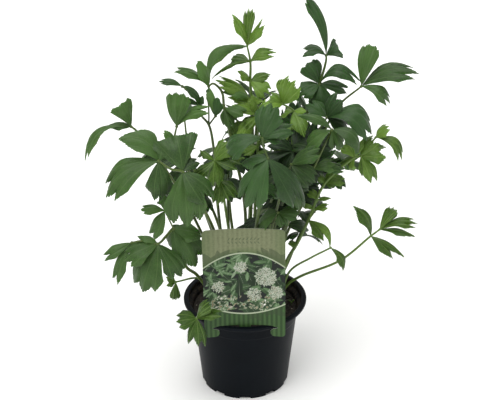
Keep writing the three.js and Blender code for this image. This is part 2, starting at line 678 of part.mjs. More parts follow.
// The card is a bowed sheet, a strip along a parabola seen from above. It is drawn a little too
// wide and too tall, and only what lies inside the outline is kept.
function labelSolid() {
  const bowAt = (x) => LABEL_MIDDLE_Y - LABEL_BOW * (x / LABEL_HALF_WIDTH) ** 2;
  const front = [];
  for (let step = 0; step <= LABEL_BOW_STEPS; step += 1) {
    const x = LABEL_HALF_WIDTH * SHEET_OVERHANG * (2 * step / LABEL_BOW_STEPS - 1);
    front.push(new THREE.Vector2(x, bowAt(x) - LABEL_THICKNESS / 2));
  }
  const back = front.map((point) => new THREE.Vector2(point.x, point.y + LABEL_THICKNESS)).reverse();
  const sheet = new THREE.ExtrudeGeometry(new THREE.Shape([...front, ...back]), {
    depth: LABEL_TOP * SHEET_OVERHANG, bevelEnabled: false,
  });
  const cutter = new THREE.ExtrudeGeometry(labelOutline(), {
    depth: RIM_RADIUS, bevelEnabled: false, curveSegments: LABEL_CORNER_STEPS,
  });
  cutter.rotateX(Math.PI / 2);
  return toSolid(sheet).intersect(toSolid(cutter));
}

function addPiece(group, name, solid, color, roughness) {
  const mesh = new THREE.Mesh(
    toGeometry(solid),
    new THREE.MeshStandardMaterial({ color, roughness, metalness: 0 }),
  );
  mesh.name = name;
  group.add(mesh);
  return mesh;
}

const plant = new THREE.Group();
addPiece(plant, 'pot', potSolid(), '#1b1d20', 0.42);
addPiece(plant, 'soil', soilSolid(), '#3a2c22', 0.95);
const label = addPiece(plant, 'label', labelSolid(), '#9aa874', 0.45);
const hanger = new THREE.Group();
hanger.position.z = POT_HEIGHT;
hanger.rotation.y = -THREE.MathUtils.degToRad(LABEL_ROLL_DEGREES);
label.position.z = -POT_HEIGHT;
hanger.add(label);
plant.add(hanger);
for (const entry of FRONDS) {
  let color = LEAF_GREEN;
  if (YOUNG_FRONDS.includes(entry.name)) color = YOUNG_GREEN;
  if (DARK_FRONDS.includes(entry.name)) color = DARK_GREEN;
  addPiece(plant, `frond_${entry.name}`, frondSolid(entry), color, 0.5);
}

export default plant;
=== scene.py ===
"""A young lovage plant in a round nursery pot of soil, with a patterned label over the rim."""
import functools
import json
import math
from math import cos, pi, sin

import bpy
import numpy as np
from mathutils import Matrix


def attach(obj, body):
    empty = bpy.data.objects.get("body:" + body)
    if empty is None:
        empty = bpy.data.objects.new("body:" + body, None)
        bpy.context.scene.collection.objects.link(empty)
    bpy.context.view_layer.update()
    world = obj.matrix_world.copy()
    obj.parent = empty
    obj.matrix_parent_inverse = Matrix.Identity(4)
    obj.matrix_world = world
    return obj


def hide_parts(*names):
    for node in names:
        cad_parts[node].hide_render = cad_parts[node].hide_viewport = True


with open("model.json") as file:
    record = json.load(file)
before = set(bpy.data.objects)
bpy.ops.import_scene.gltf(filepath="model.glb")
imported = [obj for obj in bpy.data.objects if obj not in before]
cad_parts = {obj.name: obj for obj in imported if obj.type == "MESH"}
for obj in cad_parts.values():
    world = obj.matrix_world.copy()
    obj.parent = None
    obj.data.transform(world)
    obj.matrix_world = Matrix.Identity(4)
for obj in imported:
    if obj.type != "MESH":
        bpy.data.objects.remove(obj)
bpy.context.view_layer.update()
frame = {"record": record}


# The picture's viewpoint, floor and light
# The photograph looks down from the front through a long lens. The plant stands on a plain white
# surface in soft light from all round, strongest from above and a little left. Lengths are in
# metres for the camera, in millimetres for all else.
LENS_PIXELS = 1325
IMAGE_WIDTH = 500
SENSOR_MM = 36
RIM_LEVEL = 0.092
VIEW_DISTANCE = 1.3
RIM_DEPRESSION = math.radians(31.5)
AXIS_DEPRESSION = math.radians(27.36)
POT_LEFT_OF_CENTRE = 5
FLOOR_HALF_WIDTH = 6000
CREASE = math.radians(50)
TURN = 2 * pi


def linear(code):
    """An sRGB hex colour as linear RGBA: ((c + 0.055) / 1.055) ** 2.4, or c / 12.92 when dark."""
    shares = np.array([int(code[start:start + 2], 16) / 255 for start in (1, 3, 5)])
    curved = np.where(shares > 0.04045, ((shares + 0.055) / 1.055) ** 2.4, shares / 12.92)
    return (*curved.tolist(), 1)


def feed(owner, inputs, node="Principled BSDF"):
    """Sets a node's inputs, listed in order or by name, each to a value, a hex colour or another
    node's output."""
    node = owner.node_tree.nodes[node] if isinstance(node, str) else node
    if isinstance(inputs, dict):
        pairs = [(node.inputs[name], source) for name, source in inputs.items()]
    else:
        pairs = zip([socket for socket in node.inputs if socket.enabled], inputs)
    for socket, source in pairs:
        if isinstance(source, bpy.types.NodeSocket):
            owner.node_tree.links.new(source, socket)
        else:
            socket.default_value = linear(source) if isinstance(source, str) else source


def add_node(owner, kind, inputs=(), output=None, **settings):
    """Adds a node to a material or world. Gives the output named, or the first one in use."""
    node = owner.node_tree.nodes.new("ShaderNode" + kind)
    for name, setting in settings.items():
        setattr(node, name, setting)
    feed(owner, inputs, node)
    return node.outputs[output] if output else next(live for live in node.outputs if live.enabled)


def new_material(name):
    """A material, and the way to add nodes to it."""
    material = bpy.data.materials.new(name)
    material.use_nodes = True
    return material, functools.partial(add_node, material)


def add_mesh(name, points, faces, materials, marks=None, slots=None):
    """A mesh object at the origin, from points in millimetres and faces. Marks hold a number for
    each point, slots the number of each face's material."""
    mesh = bpy.data.meshes.new(name)
    mesh.from_pydata((np.asarray(points) / 1000).tolist(), [], faces)
    for mark, numbers in (marks or {}).items():
        attribute = mesh.attributes.new(mark, "FLOAT", "POINT")
        attribute.data.foreach_set("value", np.asarray(numbers, dtype=np.float32))
    for material in materials:
        mesh.materials.append(material)
    if slots is not None:
        mesh.polygons.foreach_set("material_index", np.asarray(slots, dtype=np.int32))
    mesh.shade_smooth()
    mesh.set_sharp_from_angle(angle=CREASE)
    piece = bpy.data.objects.new(name, mesh)
    bpy.context.scene.collection.objects.link(piece)
    return piece


lens = bpy.data.cameras.new("camera")
lens.sensor_width = SENSOR_MM
lens.lens = LENS_PIXELS * SENSOR_MM / IMAGE_WIDTH
lens.shift_x = POT_LEFT_OF_CENTRE / IMAGE_WIDTH
camera = bpy.data.objects.new("camera", lens)
camera.location = (0, -VIEW_DISTANCE * cos(RIM_DEPRESSION),
                   RIM_LEVEL + VIEW_DISTANCE * sin(RIM_DEPRESSION))
camera.rotation_euler = (pi / 2 - AXIS_DEPRESSION, 0, 0)
bpy.context.scene.collection.objects.link(camera)
bpy.context.scene.camera = camera
bpy.context.scene.view_settings.view_transform = "Standard"

# A white room: as bright as the floor along its foot, dimmer higher up
world = bpy.data.worlds.new("studio")
world.use_nodes = True
room_way = add_node(world, "TexCoord", output="Generated")
room_height = add_node(world, "SeparateXYZ", [room_way], "Z")
glow = add_node(world, "MapRange", [room_height, 0.02, 0.25, 1, 0.5], interpolation_type="SMOOTHSTEP")
feed(world, {"Color": "#ffffff", "Strength": glow}, "Background")
bpy.context.scene.world = world

# Lights that shine evenly through wide white screens: (name, the side it comes from, how wide
# the screen looks in degrees, strength)
for name, side, width, strength in (
        ("key light", (-0.7, -1.0, 1.6), 42, 1.45),
        ("fill light", (1.2, -0.9, 1.0), 60, 0.12),
        ("top light", (0.1, 0.3, 1.7), 65, 1.75),
        ("back light", (0.3, 1.5, 1.0), 60, 0.3)):
    lamp = bpy.data.lights.new(name, "SUN")
    lamp.angle = math.radians(width)
    lamp.energy = strength
    light = bpy.data.objects.new(name, lamp)
    light.rotation_euler = (math.acos(side[2] / np.linalg.norm(side)), 0,
                            math.atan2(-side[1], -side[0]) - pi / 2)
    bpy.context.scene.collection.objects.link(light)

# Matt white paper laid flat: it scatters light evenly and shows only a soft shadow
paper, _ = new_material("white_paper_sweep")
feed(paper, {"Base Color": "#f6f6f4", "Roughness": 0.9, "Specular IOR Level": 0.1})
floor_corners = [(-1, -1, 0), (1, -1, 0), (1, 1, 0), (-1, 1, 0)]
floor = add_mesh("floor", FLOOR_HALF_WIDTH * np.array(floor_corners), [(0, 1, 2, 3)], [paper])


# Pot
# A 12 cm nursery pot, moulded from black recycled polypropylene. Its wall flares at a shoulder
# into a flat rim with soft edges, and drainage notches run round the bottom edge. Its corners
# go up the outside and down the inside: (radius, height, rounding).
POT_CORNERS = [(0, 0, 0), (42.7, 0, 0.8), (42.98, 2.8, 0), (43.02, 3.05, 0), (50.6, 73.4, 0.6),
               (51, 74.2, 0.6), (52, 84, 2), (56.4, 87.6, 1), (56.4, 89.2, 0.4), (60, 89.2, 0.7),
               (60, 92, 0.9), (55, 92, 0.9), (54.8, 87.6, 1), (50.5, 84, 2), (41.5, 2.4, 2), (0, 2.4, 0)]
NOTCH_COUNT = 10
NOTCH_WIDTH = 11
NOTCH_RISE = 3
NOTCH_DEPTH = 2.4
NOTCH_SIDE = 0.002
BASE_RADIUS = 42.7
INNER_WALL_RADIUS = 55.1
CORNER_STEPS = 4
ROUND_STEPS = 160


def rounded(corners, steps):
    """A profile through corners, each replaced by the curve (1-t)^2 * before + 2t(1-t) * corner
    + t^2 * after, which starts and ends its rounding away from it."""
    line = []
    share = np.linspace(0, 1, steps + 1)[:, None]
    for number, (*corner, rounding) in enumerate(corners):
        if rounding == 0:
            line.append([corner])
            continue
        ends = []
        for other in (corners[number - 1], corners[number + 1]):
            away = np.subtract(other[:2], corner)
            ends.append(corner + away / np.linalg.norm(away) * rounding)
        line.append((1 - share) ** 2 * ends[0] + 2 * share * (1 - share) * corner
                    + share ** 2 * ends[1])
    return np.concatenate(line)


def full_circle(steps):
    """Angles at equal steps round a circle, without the last repeat."""
    return np.linspace(0, TURN, steps, endpoint=False)


def grid_faces(numbers):
    """Four-cornered faces between neighbours in a 2-D array of point numbers."""
    corners = [numbers[:-1, :-1], numbers[:-1, 1:], numbers[1:, 1:], numbers[1:, :-1]]
    return np.stack(corners, axis=-1).reshape(-1, 4)


def turned(profile, angles, shape):
    """A profile carried round the Z axis and closed by a point at each end: (radius * cos angle,
    radius * sin angle, height), after `shape` has changed the radii and heights."""
    rings = profile[1:-1]
    radius = np.repeat(rings[:, :1], len(angles), axis=1)
    height = np.repeat(rings[:, 1:], len(angles), axis=1)
    radius, height = shape(radius, height, angles[None])
    body = np.stack([radius * np.cos(angles), radius * np.sin(angles), height], -1)
    ends = [[0, 0, profile[0, 1]], [0, 0, profile[-1, 1]]]
    numbers = np.arange(radius.size).reshape(radius.shape)
    wrapped = np.concatenate([numbers, numbers[:, :1]], axis=1)
    faces = grid_faces(wrapped).tolist()
    for ring, middle in ((wrapped[0, ::-1], radius.size), (wrapped[-1], radius.size + 1)):
        faces += np.stack([ring[:-1], ring[1:], np.full(len(angles), middle)], -1).tolist()
    return np.concatenate([body.reshape(-1, 3), ends]), faces


def cut_notches(radius, height, angle):
    """Outer wall points below a notch's rise and within half its width of its middle move
    inwards by its depth."""
    pitch = TURN / NOTCH_COUNT
    from_middle = np.abs((angle + pi / NOTCH_COUNT) % pitch - pitch / 2)
    off = BASE_RADIUS * (pitch / 2 - from_middle)
    inside = (off < NOTCH_WIDTH / 2) & (height < NOTCH_RISE) & (radius > BASE_RADIUS - NOTCH_DEPTH)
    return np.where(inside, radius - NOTCH_DEPTH, radius), height


# Two angles close together at each side of a notch make its side steep
half_notch = NOTCH_WIDTH / 2 / BASE_RADIUS
notch_edges = [pi / NOTCH_COUNT + TURN * number / NOTCH_COUNT + side * edge
               for number in range(NOTCH_COUNT) for side in (-1, 1)
               for edge in (half_notch - NOTCH_SIDE, half_notch + NOTCH_SIDE)]
pot_angles = np.unique(np.concatenate([full_circle(ROUND_STEPS), np.array(notch_edges) % TURN]))
pot_profile = rounded(POT_CORNERS, CORNER_STEPS)
past_rim = np.arange(len(pot_profile)) > np.argmax(pot_profile[:, 1])
inner_rings = (past_rim & (pot_profile[:, 0] < INNER_WALL_RADIUS))[1:-1]
inner_mark = np.concatenate([np.repeat(inner_rings, len(pot_angles)), [0, 1]])

# Recycled black polypropylene, injection moulded: satin, with a faint 0.7 mm grain from the mould
# and greyer patches, 22 mm wide, where handling has dulled it. Compost clings to its inside in
# brown smears 4 mm wide.
plastic, node = new_material("black_polypropylene_moulded")
place = node("TexCoord", output="Object")
dulled = node("TexNoise", [place, 45, 4])
clean = node("Mix", [dulled, "#080b0f", "#0e1318"], data_type="RGBA")
smears = node("TexNoise", [place, 260, 5, 0.65])
cling = node("MapRange", [smears, 0.38, 0.6, 0, 0.9])
inner = node("Attribute", output="Fac", attribute_name="inner")
dirt = node("Math", [cling, inner], operation="MULTIPLY")
grain = node("TexNoise", [place, 1400, 2])
feed(plastic, {
    "Base Color": node("Mix", [dirt, clean, "#40382f"], data_type="RGBA"),
    "Roughness": node("MapRange", [dulled, 0, 1, 0.34, 0.5]),
    "Normal": node("Bump", {"Strength": 0.12, "Distance": 0.0002, "Height": grain}),
    "IOR": 1.49, "Specular IOR Level": 0.06})

pot = add_mesh("nursery_pot", *turned(pot_profile, pot_angles, cut_notches), [plastic],
               {"inner": inner_mark})
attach(pot, "root")
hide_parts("pot")


# Soil
# Moist dark peat compost with crumbs and a few specks of pale grit. It fills the pot to a
# finger's width below the rim and mounds a little towards the stems.
SOIL_TOP = 83
SOIL_EDGE = 81
SOIL_RADIUS = 50.1
SOIL_SHOULDER = (49.8, 70)
SOIL_BOTTOM = (41, 2.7)
SOIL_RINGS = 52
SOIL_SPOKES = 200
CLOD_SIZE = 14
CLOD_RISE = 0.55
SINE_COUNT = 12
CRUMB_COUNT = 1500
CRUMBS_PER_GRIT = 60
SOIL_SEED = 11
GRIT_SEED = 5


def clods(x, y, size, seed):
    """Uneven ground between about -1 and 1: twice the mean of 12 sine waves of random direction
    and phase, whose lengths are 0.2 to 1 times the size."""
    draw = np.random.default_rng(seed)
    total = np.zeros(np.broadcast(x, y).shape)
    for _ in range(SINE_COUNT):
        angle, phase = draw.uniform(0, TURN, 2)
        length = size * draw.uniform(0.2, 1)
        total += np.sin(TURN * (x * cos(angle) + y * sin(angle)) / length + phase)
    return total / (SINE_COUNT / 2)


def soil_height(x, y):
    """The soil's surface: level less a fall to the edge by the square of the way, plus clods."""
    fall = np.clip((np.hypot(x, y) / SOIL_RADIUS - 0.5) / 0.5, 0, 1) ** 2
    return SOIL_TOP - (SOIL_TOP - SOIL_EDGE) * fall + CLOD_RISE * clods(x, y, CLOD_SIZE, SOIL_SEED)


def lay_soil(radius, height, angle):
    """Points from 2 mm below the soil's edge upwards take the uneven ground's height."""
    ground = soil_height(radius * np.cos(angle), radius * np.sin(angle))
    return radius, np.where(height > SOIL_EDGE - 2, ground, height)


def crumbs(places, sizes, seed):
    """Uneven lumps: the 12 corners of an icosahedron round each place, each pushed in or out by
    up to a third, squashed to two thirds of their height."""
    draw = np.random.default_rng(seed)
    golden = (1 + math.sqrt(5)) / 2
    upright = np.array([(-1, golden, 0), (1, golden, 0), (-1, -golden, 0), (1, -golden, 0)])
    corners = np.concatenate([np.roll(upright, step, axis=1) for step in range(3)])
    corners /= math.hypot(1, golden)
    sides = np.array([(0, 11, 5), (0, 5, 1), (0, 1, 7), (0, 7, 10), (0, 10, 11), (1, 5, 9),
                      (5, 11, 4), (11, 10, 2), (10, 7, 6), (7, 1, 8), (3, 9, 4), (3, 4, 2),
                      (3, 2, 6), (3, 6, 8), (3, 8, 9), (4, 9, 5), (2, 4, 11), (6, 2, 10),
                      (8, 6, 7), (9, 8, 1)])
    pushed = corners[None] * draw.uniform(0.67, 1.33, (len(places), 12, 1))
    pushed = pushed * sizes[:, None, None] * np.array([1, 1, 0.67])
    points = (places[:, None] + pushed).reshape(-1, 3)
    faces = (sides[None] + 12 * np.arange(len(places))[:, None, None]).reshape(-1, 3)
    return points, faces.tolist()


rings = [(radius, SOIL_TOP) for radius in np.linspace(SOIL_RADIUS, 0.8, SOIL_RINGS)]
soil_profile = np.array([(0, SOIL_BOTTOM[1]), SOIL_BOTTOM, SOIL_SHOULDER, *rings,
                         (0, soil_height(0, 0))])

draw = np.random.default_rng(SOIL_SEED)
reach = (SOIL_RADIUS - 1.5) * np.sqrt(draw.uniform(0, 1, CRUMB_COUNT))
angle = draw.uniform(0, TURN, CRUMB_COUNT)
sizes = 0.45 + 1.3 * draw.uniform(0, 1, CRUMB_COUNT) ** 3
x, y = reach * np.cos(angle), reach * np.sin(angle)
places = np.stack([x, y, soil_height(x, y) + 0.2 * sizes], -1)
grit_places = places[::CRUMBS_PER_GRIT] + [0, 0, 0.4]
grit_sizes = 0.5 + 0.6 * sizes[::CRUMBS_PER_GRIT] / sizes.max()

# Moist peat compost, crumbled: dark brown, matt, with lighter dry crumbs 2 mm wide
compost, node = new_material("moist_peat_compost")
place = node("TexCoord", output="Object")
spots = node("TexNoise", [place, 420, 5, 0.7])
compost_colour = node("ValToRGB", [spots])
for stop, position, code in zip(compost_colour.node.color_ramp.elements, (0.38, 0.72),
                                ("#171410", "#3e352b")):
    stop.position, stop.color = position, linear(code)
feed(compost, {
    "Base Color": compost_colour, "Roughness": 0.92,
    "Normal": node("Bump", {"Strength": 0.7, "Distance": 0.0008, "Height": spots})})

# Horticultural grit: pale grey-beige, matt
grit, node = new_material("pale_grit")
spots = node("TexNoise", [node("TexCoord", output="Object"), 600])
feed(grit, {
    "Base Color": node("Mix", [spots, "#8d8577", "#c2bba9"], data_type="RGBA"),
    "Roughness": 0.85})

soil = add_mesh("compost", *turned(soil_profile, full_circle(SOIL_SPOKES), lay_soil), [compost])
loose = add_mesh("compost_crumbs", *crumbs(places, sizes, SOIL_SEED), [compost])
specks = add_mesh("grit_specks", *crumbs(grit_places, grit_sizes, GRIT_SEED), [grit])
for piece in (soil, loose, specks):
    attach(piece, "root")
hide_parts("soil")


# Label
# A plant label die cut from thin printed polypropylene card. It stands bowed at the front: two
# tabs hang outside the rim, a tongue goes inside it, and the rim fills the slots. Its print is
# plain: a striped ground, a dark panel of scattered leaves and a green foot. Painted shade darkens
# the ground towards its left and right edges.
LABEL_HALF = 38
LABEL_TOP = 196.5
LABEL_THICKNESS = 0.6
LABEL_CORNER = 4
LABEL_MIDDLE_Y = -53.9
LABEL_BOW = 3.7
LABEL_ROLL = math.radians(0.8)
LABEL_PIVOT = 92
TAB_BOTTOM = 81.5
TAB_TOP = 89.8
TAB_INNER = 24
SLOT_END = (31.5, 91.2)
SLOT_EDGE = 93.2
TONGUE_HALF_WIDTH = 5.5
TONGUE_BOTTOM = 89
PRINT_PITCH = 0.65
PANEL_TOP, PANEL_TOP_CURVE = 171, 14
PANEL_BOTTOM, PANEL_BOTTOM_CURVE = 106, 12
STRIPE_WIDTH = 4.4
FOOT_TOP = 134
PRINT_SEED = 4


def sheet(front, back):
    """A thin closed body between two grids of points of one size: the front, the back turned
    over, and a wall one face wide round the edge."""
    rows, columns = front.shape[:2]
    numbers = np.arange(rows * columns).reshape(rows, columns)
    behind = numbers + rows * columns
    rim = [np.concatenate([side[0, :-1], side[:-1, -1], side[-1, :0:-1], side[:0:-1, 0]])
           for side in (numbers, behind)]
    wall = np.stack([rim[0], rim[1], np.roll(rim[1], -1), np.roll(rim[0], -1)], -1)
    faces = np.concatenate([grid_faces(numbers), grid_faces(behind)[:, ::-1], wall])
    return np.concatenate([front.reshape(-1, 3), back.reshape(-1, 3)]), faces


def gather(parts):
    """Joins (points, faces, marks) parts into one, with zeros for a part without marks."""
    starts = np.cumsum([0] + [len(part[0]) for part in parts[:-1]])
    points = np.concatenate([part[0] for part in parts])
    faces = np.concatenate([part[1] + start for part, start in zip(parts, starts)])
    marks = {mark: np.concatenate([part[2].get(mark, np.zeros(len(part[0]))) for part in parts])
             for mark in parts[0][2]}
    return points, faces, marks


def round_end(height, centre, radius):
    """Half a circle's width at a height: sqrt(radius^2 - (height - centre)^2)."""
    return np.sqrt(np.clip(radius ** 2 - (height - centre) ** 2, 0, None))


def print_motifs(across, up, motifs):
    """Lays leaf shapes (x, z, angle, length, slimness, tone) over each other, with a half width
    of slimness * length * (1 - p^2) at p, which runs from -1 to 1 along each. Gives each place
    its depth inside the top one, and that one's tone and distance from its middle line."""
    depth = np.full(across.shape, -9.0)
    tone, rib = np.zeros(across.shape), np.full(across.shape, 9.0)
    for middle_x, middle_z, angle, length, slimness, shade in motifs:
        x, z = across - middle_x, up - middle_z
        p = (x * cos(angle) + z * sin(angle)) / length
        q = np.abs(z * cos(angle) - x * sin(angle))
        inside = slimness * length * (1 - p ** 2) - q
        over = inside > 0
        depth = np.where(over, inside, np.maximum(depth, inside))
        tone, rib = np.where(over, shade, tone), np.where(over, q, rib)
    return depth, tone, rib


def herb_motifs():
    """The panel's broad dark leaves, smaller lighter ones over them, seeds low down and flower
    heads of pale dots in spirals, and above the panel a garland of paired leaves."""
    draw = np.random.default_rng(PRINT_SEED)
    motifs = []
    for count, left, right, low, high, short, long, slimness, dark, light in (
            (70, -38, 38, 106, 171, 7, 12, 0.34, 0, 0.2),
            (100, -38, 38, 108, 168, 3.5, 6.5, 0.32, 0.12, 0.5),
            (110, -30, 30, 110, 126, 1, 1.9, 0.4, 0.86, 1)):
        motifs += [(draw.uniform(left, right), draw.uniform(low, high), draw.uniform(0, pi),
                    draw.uniform(short, long), slimness, draw.uniform(dark, light)) for _ in range(count)]
    for head_x, head_z, spread in ((20, 146, 10), (29, 130, 7), (9, 127, 7), (-24, 136, 6), (-3, 156, 6)):
        count = spread ** 2 * 1.1
        for number in range(int(count)):
            angle, out = number * 2.4, spread * math.sqrt(number / count)
            motifs.append((head_x + out * cos(angle), head_z + out * sin(angle), angle,
                           draw.uniform(0.9, 1.3), 0.75, draw.uniform(0.6, 0.82)))
    for place in np.arange(-4, 5):
        motifs += [(3.4 * place, 184 + side * 1.9, side * 1.0, 2.1, 0.3, 0.3) for side in (-1, 1)]
    return motifs


def card(rows, left, right, columns):
    """A patch of the card between a left and right edge at each height. A point lies at y =
    middle - bow * (x / half width)^2, and the whole card rolls about the rim's height."""
    across = left[:, None] + (right - left)[:, None] * np.linspace(0, 1, columns)
    up = np.repeat(rows[:, None], columns, axis=1)
    bend = (across / LABEL_HALF) ** 2
    depth = LABEL_MIDDLE_Y - LABEL_BOW * bend
    tall = up - LABEL_PIVOT
    rolled_x = across * cos(LABEL_ROLL) - tall * sin(LABEL_ROLL)
    rolled_z = LABEL_PIVOT + across * sin(LABEL_ROLL) + tall * cos(LABEL_ROLL)
    points, faces = sheet(*(np.stack([rolled_x, depth + side * LABEL_THICKNESS / 2, rolled_z], -1)
                            for side in (-1, 1)))
    motif_depth, motif_tone, motif_rib = print_motifs(across, up, herb_motifs())
    inside = np.minimum(PANEL_TOP - PANEL_TOP_CURVE * bend - up,
                        up - PANEL_BOTTOM - PANEL_BOTTOM_CURVE * bend)
    marks = {"across": across, "up": up, "panel_depth": inside, "motif_depth": motif_depth,
             "motif_tone": motif_tone, "motif_rib": motif_rib}
    marks = {mark: np.tile(numbers.reshape(-1), 2) for mark, numbers in marks.items()}
    return points, faces, {**marks, "printed": np.repeat([1.0, 0.0], across.size)}


def rounded_half(rows, level, outwards):
    """Half the label's width at each row, with a round corner on one side of a level."""
    corner = LABEL_HALF - LABEL_CORNER + round_end(rows, level, LABEL_CORNER)
    return np.where(outwards * (rows - level) > 0, corner, LABEL_HALF)


corner_level = LABEL_TOP - LABEL_CORNER
body_rows = np.concatenate([np.arange(SLOT_EDGE, corner_level, PRINT_PITCH),
                            corner_level + LABEL_CORNER * np.sin(np.linspace(0, pi / 2, 9))])
body_half = rounded_half(body_rows, corner_level, 1)
tab_radius = (TAB_TOP - TAB_BOTTOM) / 2
leg_rows = np.concatenate([TAB_BOTTOM + tab_radius * (1 - np.cos(np.linspace(0.05, pi - 0.05, 24))),
                           [TAB_TOP], np.linspace(SLOT_END[1], SLOT_EDGE, 3)])
leg_outer = rounded_half(leg_rows, TAB_BOTTOM + LABEL_CORNER, -1)
leg_inner = np.where(leg_rows < TAB_TOP,
                     TAB_INNER + tab_radius - round_end(leg_rows, TAB_BOTTOM + tab_radius, tab_radius),
                     np.interp(leg_rows, [TAB_TOP, SLOT_END[1], SLOT_EDGE],
                               [TAB_INNER + tab_radius, SLOT_END[0], TAB_INNER]))
tongue_rows = np.linspace(TONGUE_BOTTOM, SLOT_EDGE, 8)
tongue_half = np.full(len(tongue_rows), TONGUE_HALF_WIDTH)
label_points, label_faces, label_marks = gather([
    card(body_rows, -body_half, body_half, round(2 * LABEL_HALF / PRINT_PITCH)),
    card(leg_rows, -leg_outer, -leg_inner, 20), card(leg_rows, leg_inner, leg_outer, 20),
    card(tongue_rows, -tongue_half, tongue_half, 12)])

# Offset printed polypropylene card under a clear varnish: smooth, with a low gloss, and the
# card's plain off-white on the back
varnish, node = new_material("varnished_printed_card")
across, up, panel_depth, motif_depth, motif_tone, motif_rib, printed = (
    node("Attribute", output="Fac", attribute_name=mark) for mark in label_marks)


def print_over(under, over, value, *ends):
    """Lays an ink over another, by a share that goes from 0 to 1, or as given, while a value
    goes from low to high."""
    share = node("MapRange", [value, *ends])
    return node("Mix", [share, under, over], data_type="RGBA")


print_place = node("CombineXYZ", [across, up])
stripe_turn = node("Math", [across, TURN / STRIPE_WIDTH], operation="MULTIPLY")
stripe_wave = node("Math", [stripe_turn], operation="SINE")
stripes = node("MapRange", [stripe_wave, -1, 1])
fibres = node("TexNoise", [print_place, 0.45, 5, 0.7])
from_middle = node("Math", [across], operation="ABSOLUTE")
beige = print_over("#60664a", "#777e5e", fibres, 0.3, 0.7)
beige = print_over(beige, "#878c6b", stripes, 0, 1, 0, 0.35)
# Painted shade: the ground turns darker and greener towards the card's left and right edges, from 24 to 40
# mm out from the middle.
beige = print_over(beige, "#52663d", from_middle, 24, 40, 0, 0.6)
beige = print_over(beige, "#4d623a", panel_depth, -7, -1, 0, 0.7)
green = node("Mix", [stripes, "#293f21", "#3d5931"], data_type="RGBA")
ground = print_over(green, beige, up, FOOT_TOP, FOOT_TOP + 2)
ground = print_over(ground, "#33402b", motif_depth, -0.05, 0.15, 0, 0.5)
inks = node("ValToRGB", [motif_tone])
for position, code in ((0.12, "#2a3d27"), (0.28, "#46623c"), (0.45, "#66805c"), (0.58, "#92998a"),
                       (0.72, "#b2b7a8"), (0.86, "#6b5a33"), (0.95, "#8c7a4a")):
    inks.node.color_ramp.elements.new(position).color = linear(code)
inks.node.color_ramp.elements[0].color = linear("#1d2b1a")
picture = print_over(inks, "#c3cbb4", motif_rib, 0.1, 0.35, 0.35, 0)
picture = print_over(picture, "#141a15", motif_depth, 0, 0.5, 0.45, 0)
picture = print_over("#1b211d", picture, motif_depth, -0.05, 0.1)
face = print_over(ground, picture, panel_depth, -0.1, 0.1)
on_frame_line = node("Math", [panel_depth, 0, 0.7], operation="COMPARE")
face = node("Mix", [on_frame_line, face, "#a3ad93"], data_type="RGBA")
feed(varnish, {
    "Base Color": node("Mix", [printed, "#b9bab2", face], data_type="RGBA"),
    "Roughness": node("MapRange", [fibres, 0.3, 0.7, 0.32, 0.42]),
    "IOR": 1.49, "Specular IOR Level": 0.2})

label = add_mesh("plant_label", label_points, label_faces.tolist(), [varnish], label_marks)
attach(label, "root")
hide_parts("label")


# Fronds
# Young lovage is all leaf. Each leaf is a fleshy grooved stalk from the root with wedge-shaped
# leaflets, lobed and toothed at their far ends, in groups at its knuckles.
SOIL_LEVEL = 83
STALK_ROOT_DEPTH = 14
STALK_COLLAR = 2
STALK_TIP_RADIUS = 0.8
TWIG_RADIUS = 0.75
STALK_FULLNESS = 1.15
STALK_SIDES = 10
STALK_STEPS = 8
STALK_GROOVE = 0.07
KNUCKLE_RADIUS = 1.5
YOUNG_KNUCKLE = 0.85
BLADE_ROWS = np.array([0.02, 0.07, 0.14, 0.24, 0.36, 0.5, 0.64, 0.78, 0.9, 1])
BLADE_FOLD = 0.12
BLADE_FULLNESS = 1.05
SKYWARD = 0.87
TO_FRONT = -0.5
TO_BACK = 0.5
TOOTH_STEEP, TOOTH_SLANT = 0.03, 0.14
# How far the shaded leaflets' tone is lowered: painted shade for their place inside the plant.
SHADED_TONE = -0.9
SHADED_ARCH = 0.15

# A leaflet's far edge from shoulder to shoulder: across, as a share of the half width, and
# reach, as a share of the length. Each high point is the tip of a lobe.
TRIPLE = [[-1, 0.64], [-0.8, 0.9], [-0.44, 0.78], [-0.05, 1], [0.36, 0.76], [0.76, 0.92], [1, 0.64]]
PAIR = [[-1, 0.62], [-0.58, 1], [-0.04, 0.74], [0.6, 0.93], [1, 0.58]]
FAN = [[-1, 0.6], [-0.78, 0.88], [-0.54, 0.78], [-0.2, 1], [0.08, 0.82], [0.5, 0.96], [0.72, 0.74],
       [1, 0.6]]
BLADE = [[-1, 0.52], [-0.6, 0.82], [0, 1], [0.66, 0.78], [1, 0.48]]
SPEAR = [[-1, 0.5], [0, 1], [1, 0.44]]
WEDGE = [[-1, 0.88], [-0.72, 0.98], [-0.5, 0.95], [0.1, 1], [0.35, 0.96], [0.75, 1], [1, 0.88]]
CREST = [[-1, 0.76], [-0.74, 0.93], [-0.5, 0.88], [-0.16, 1], [0.1, 0.94], [0.46, 0.99], [0.68, 0.9],
         [0.82, 0.92], [1, 0.76]]
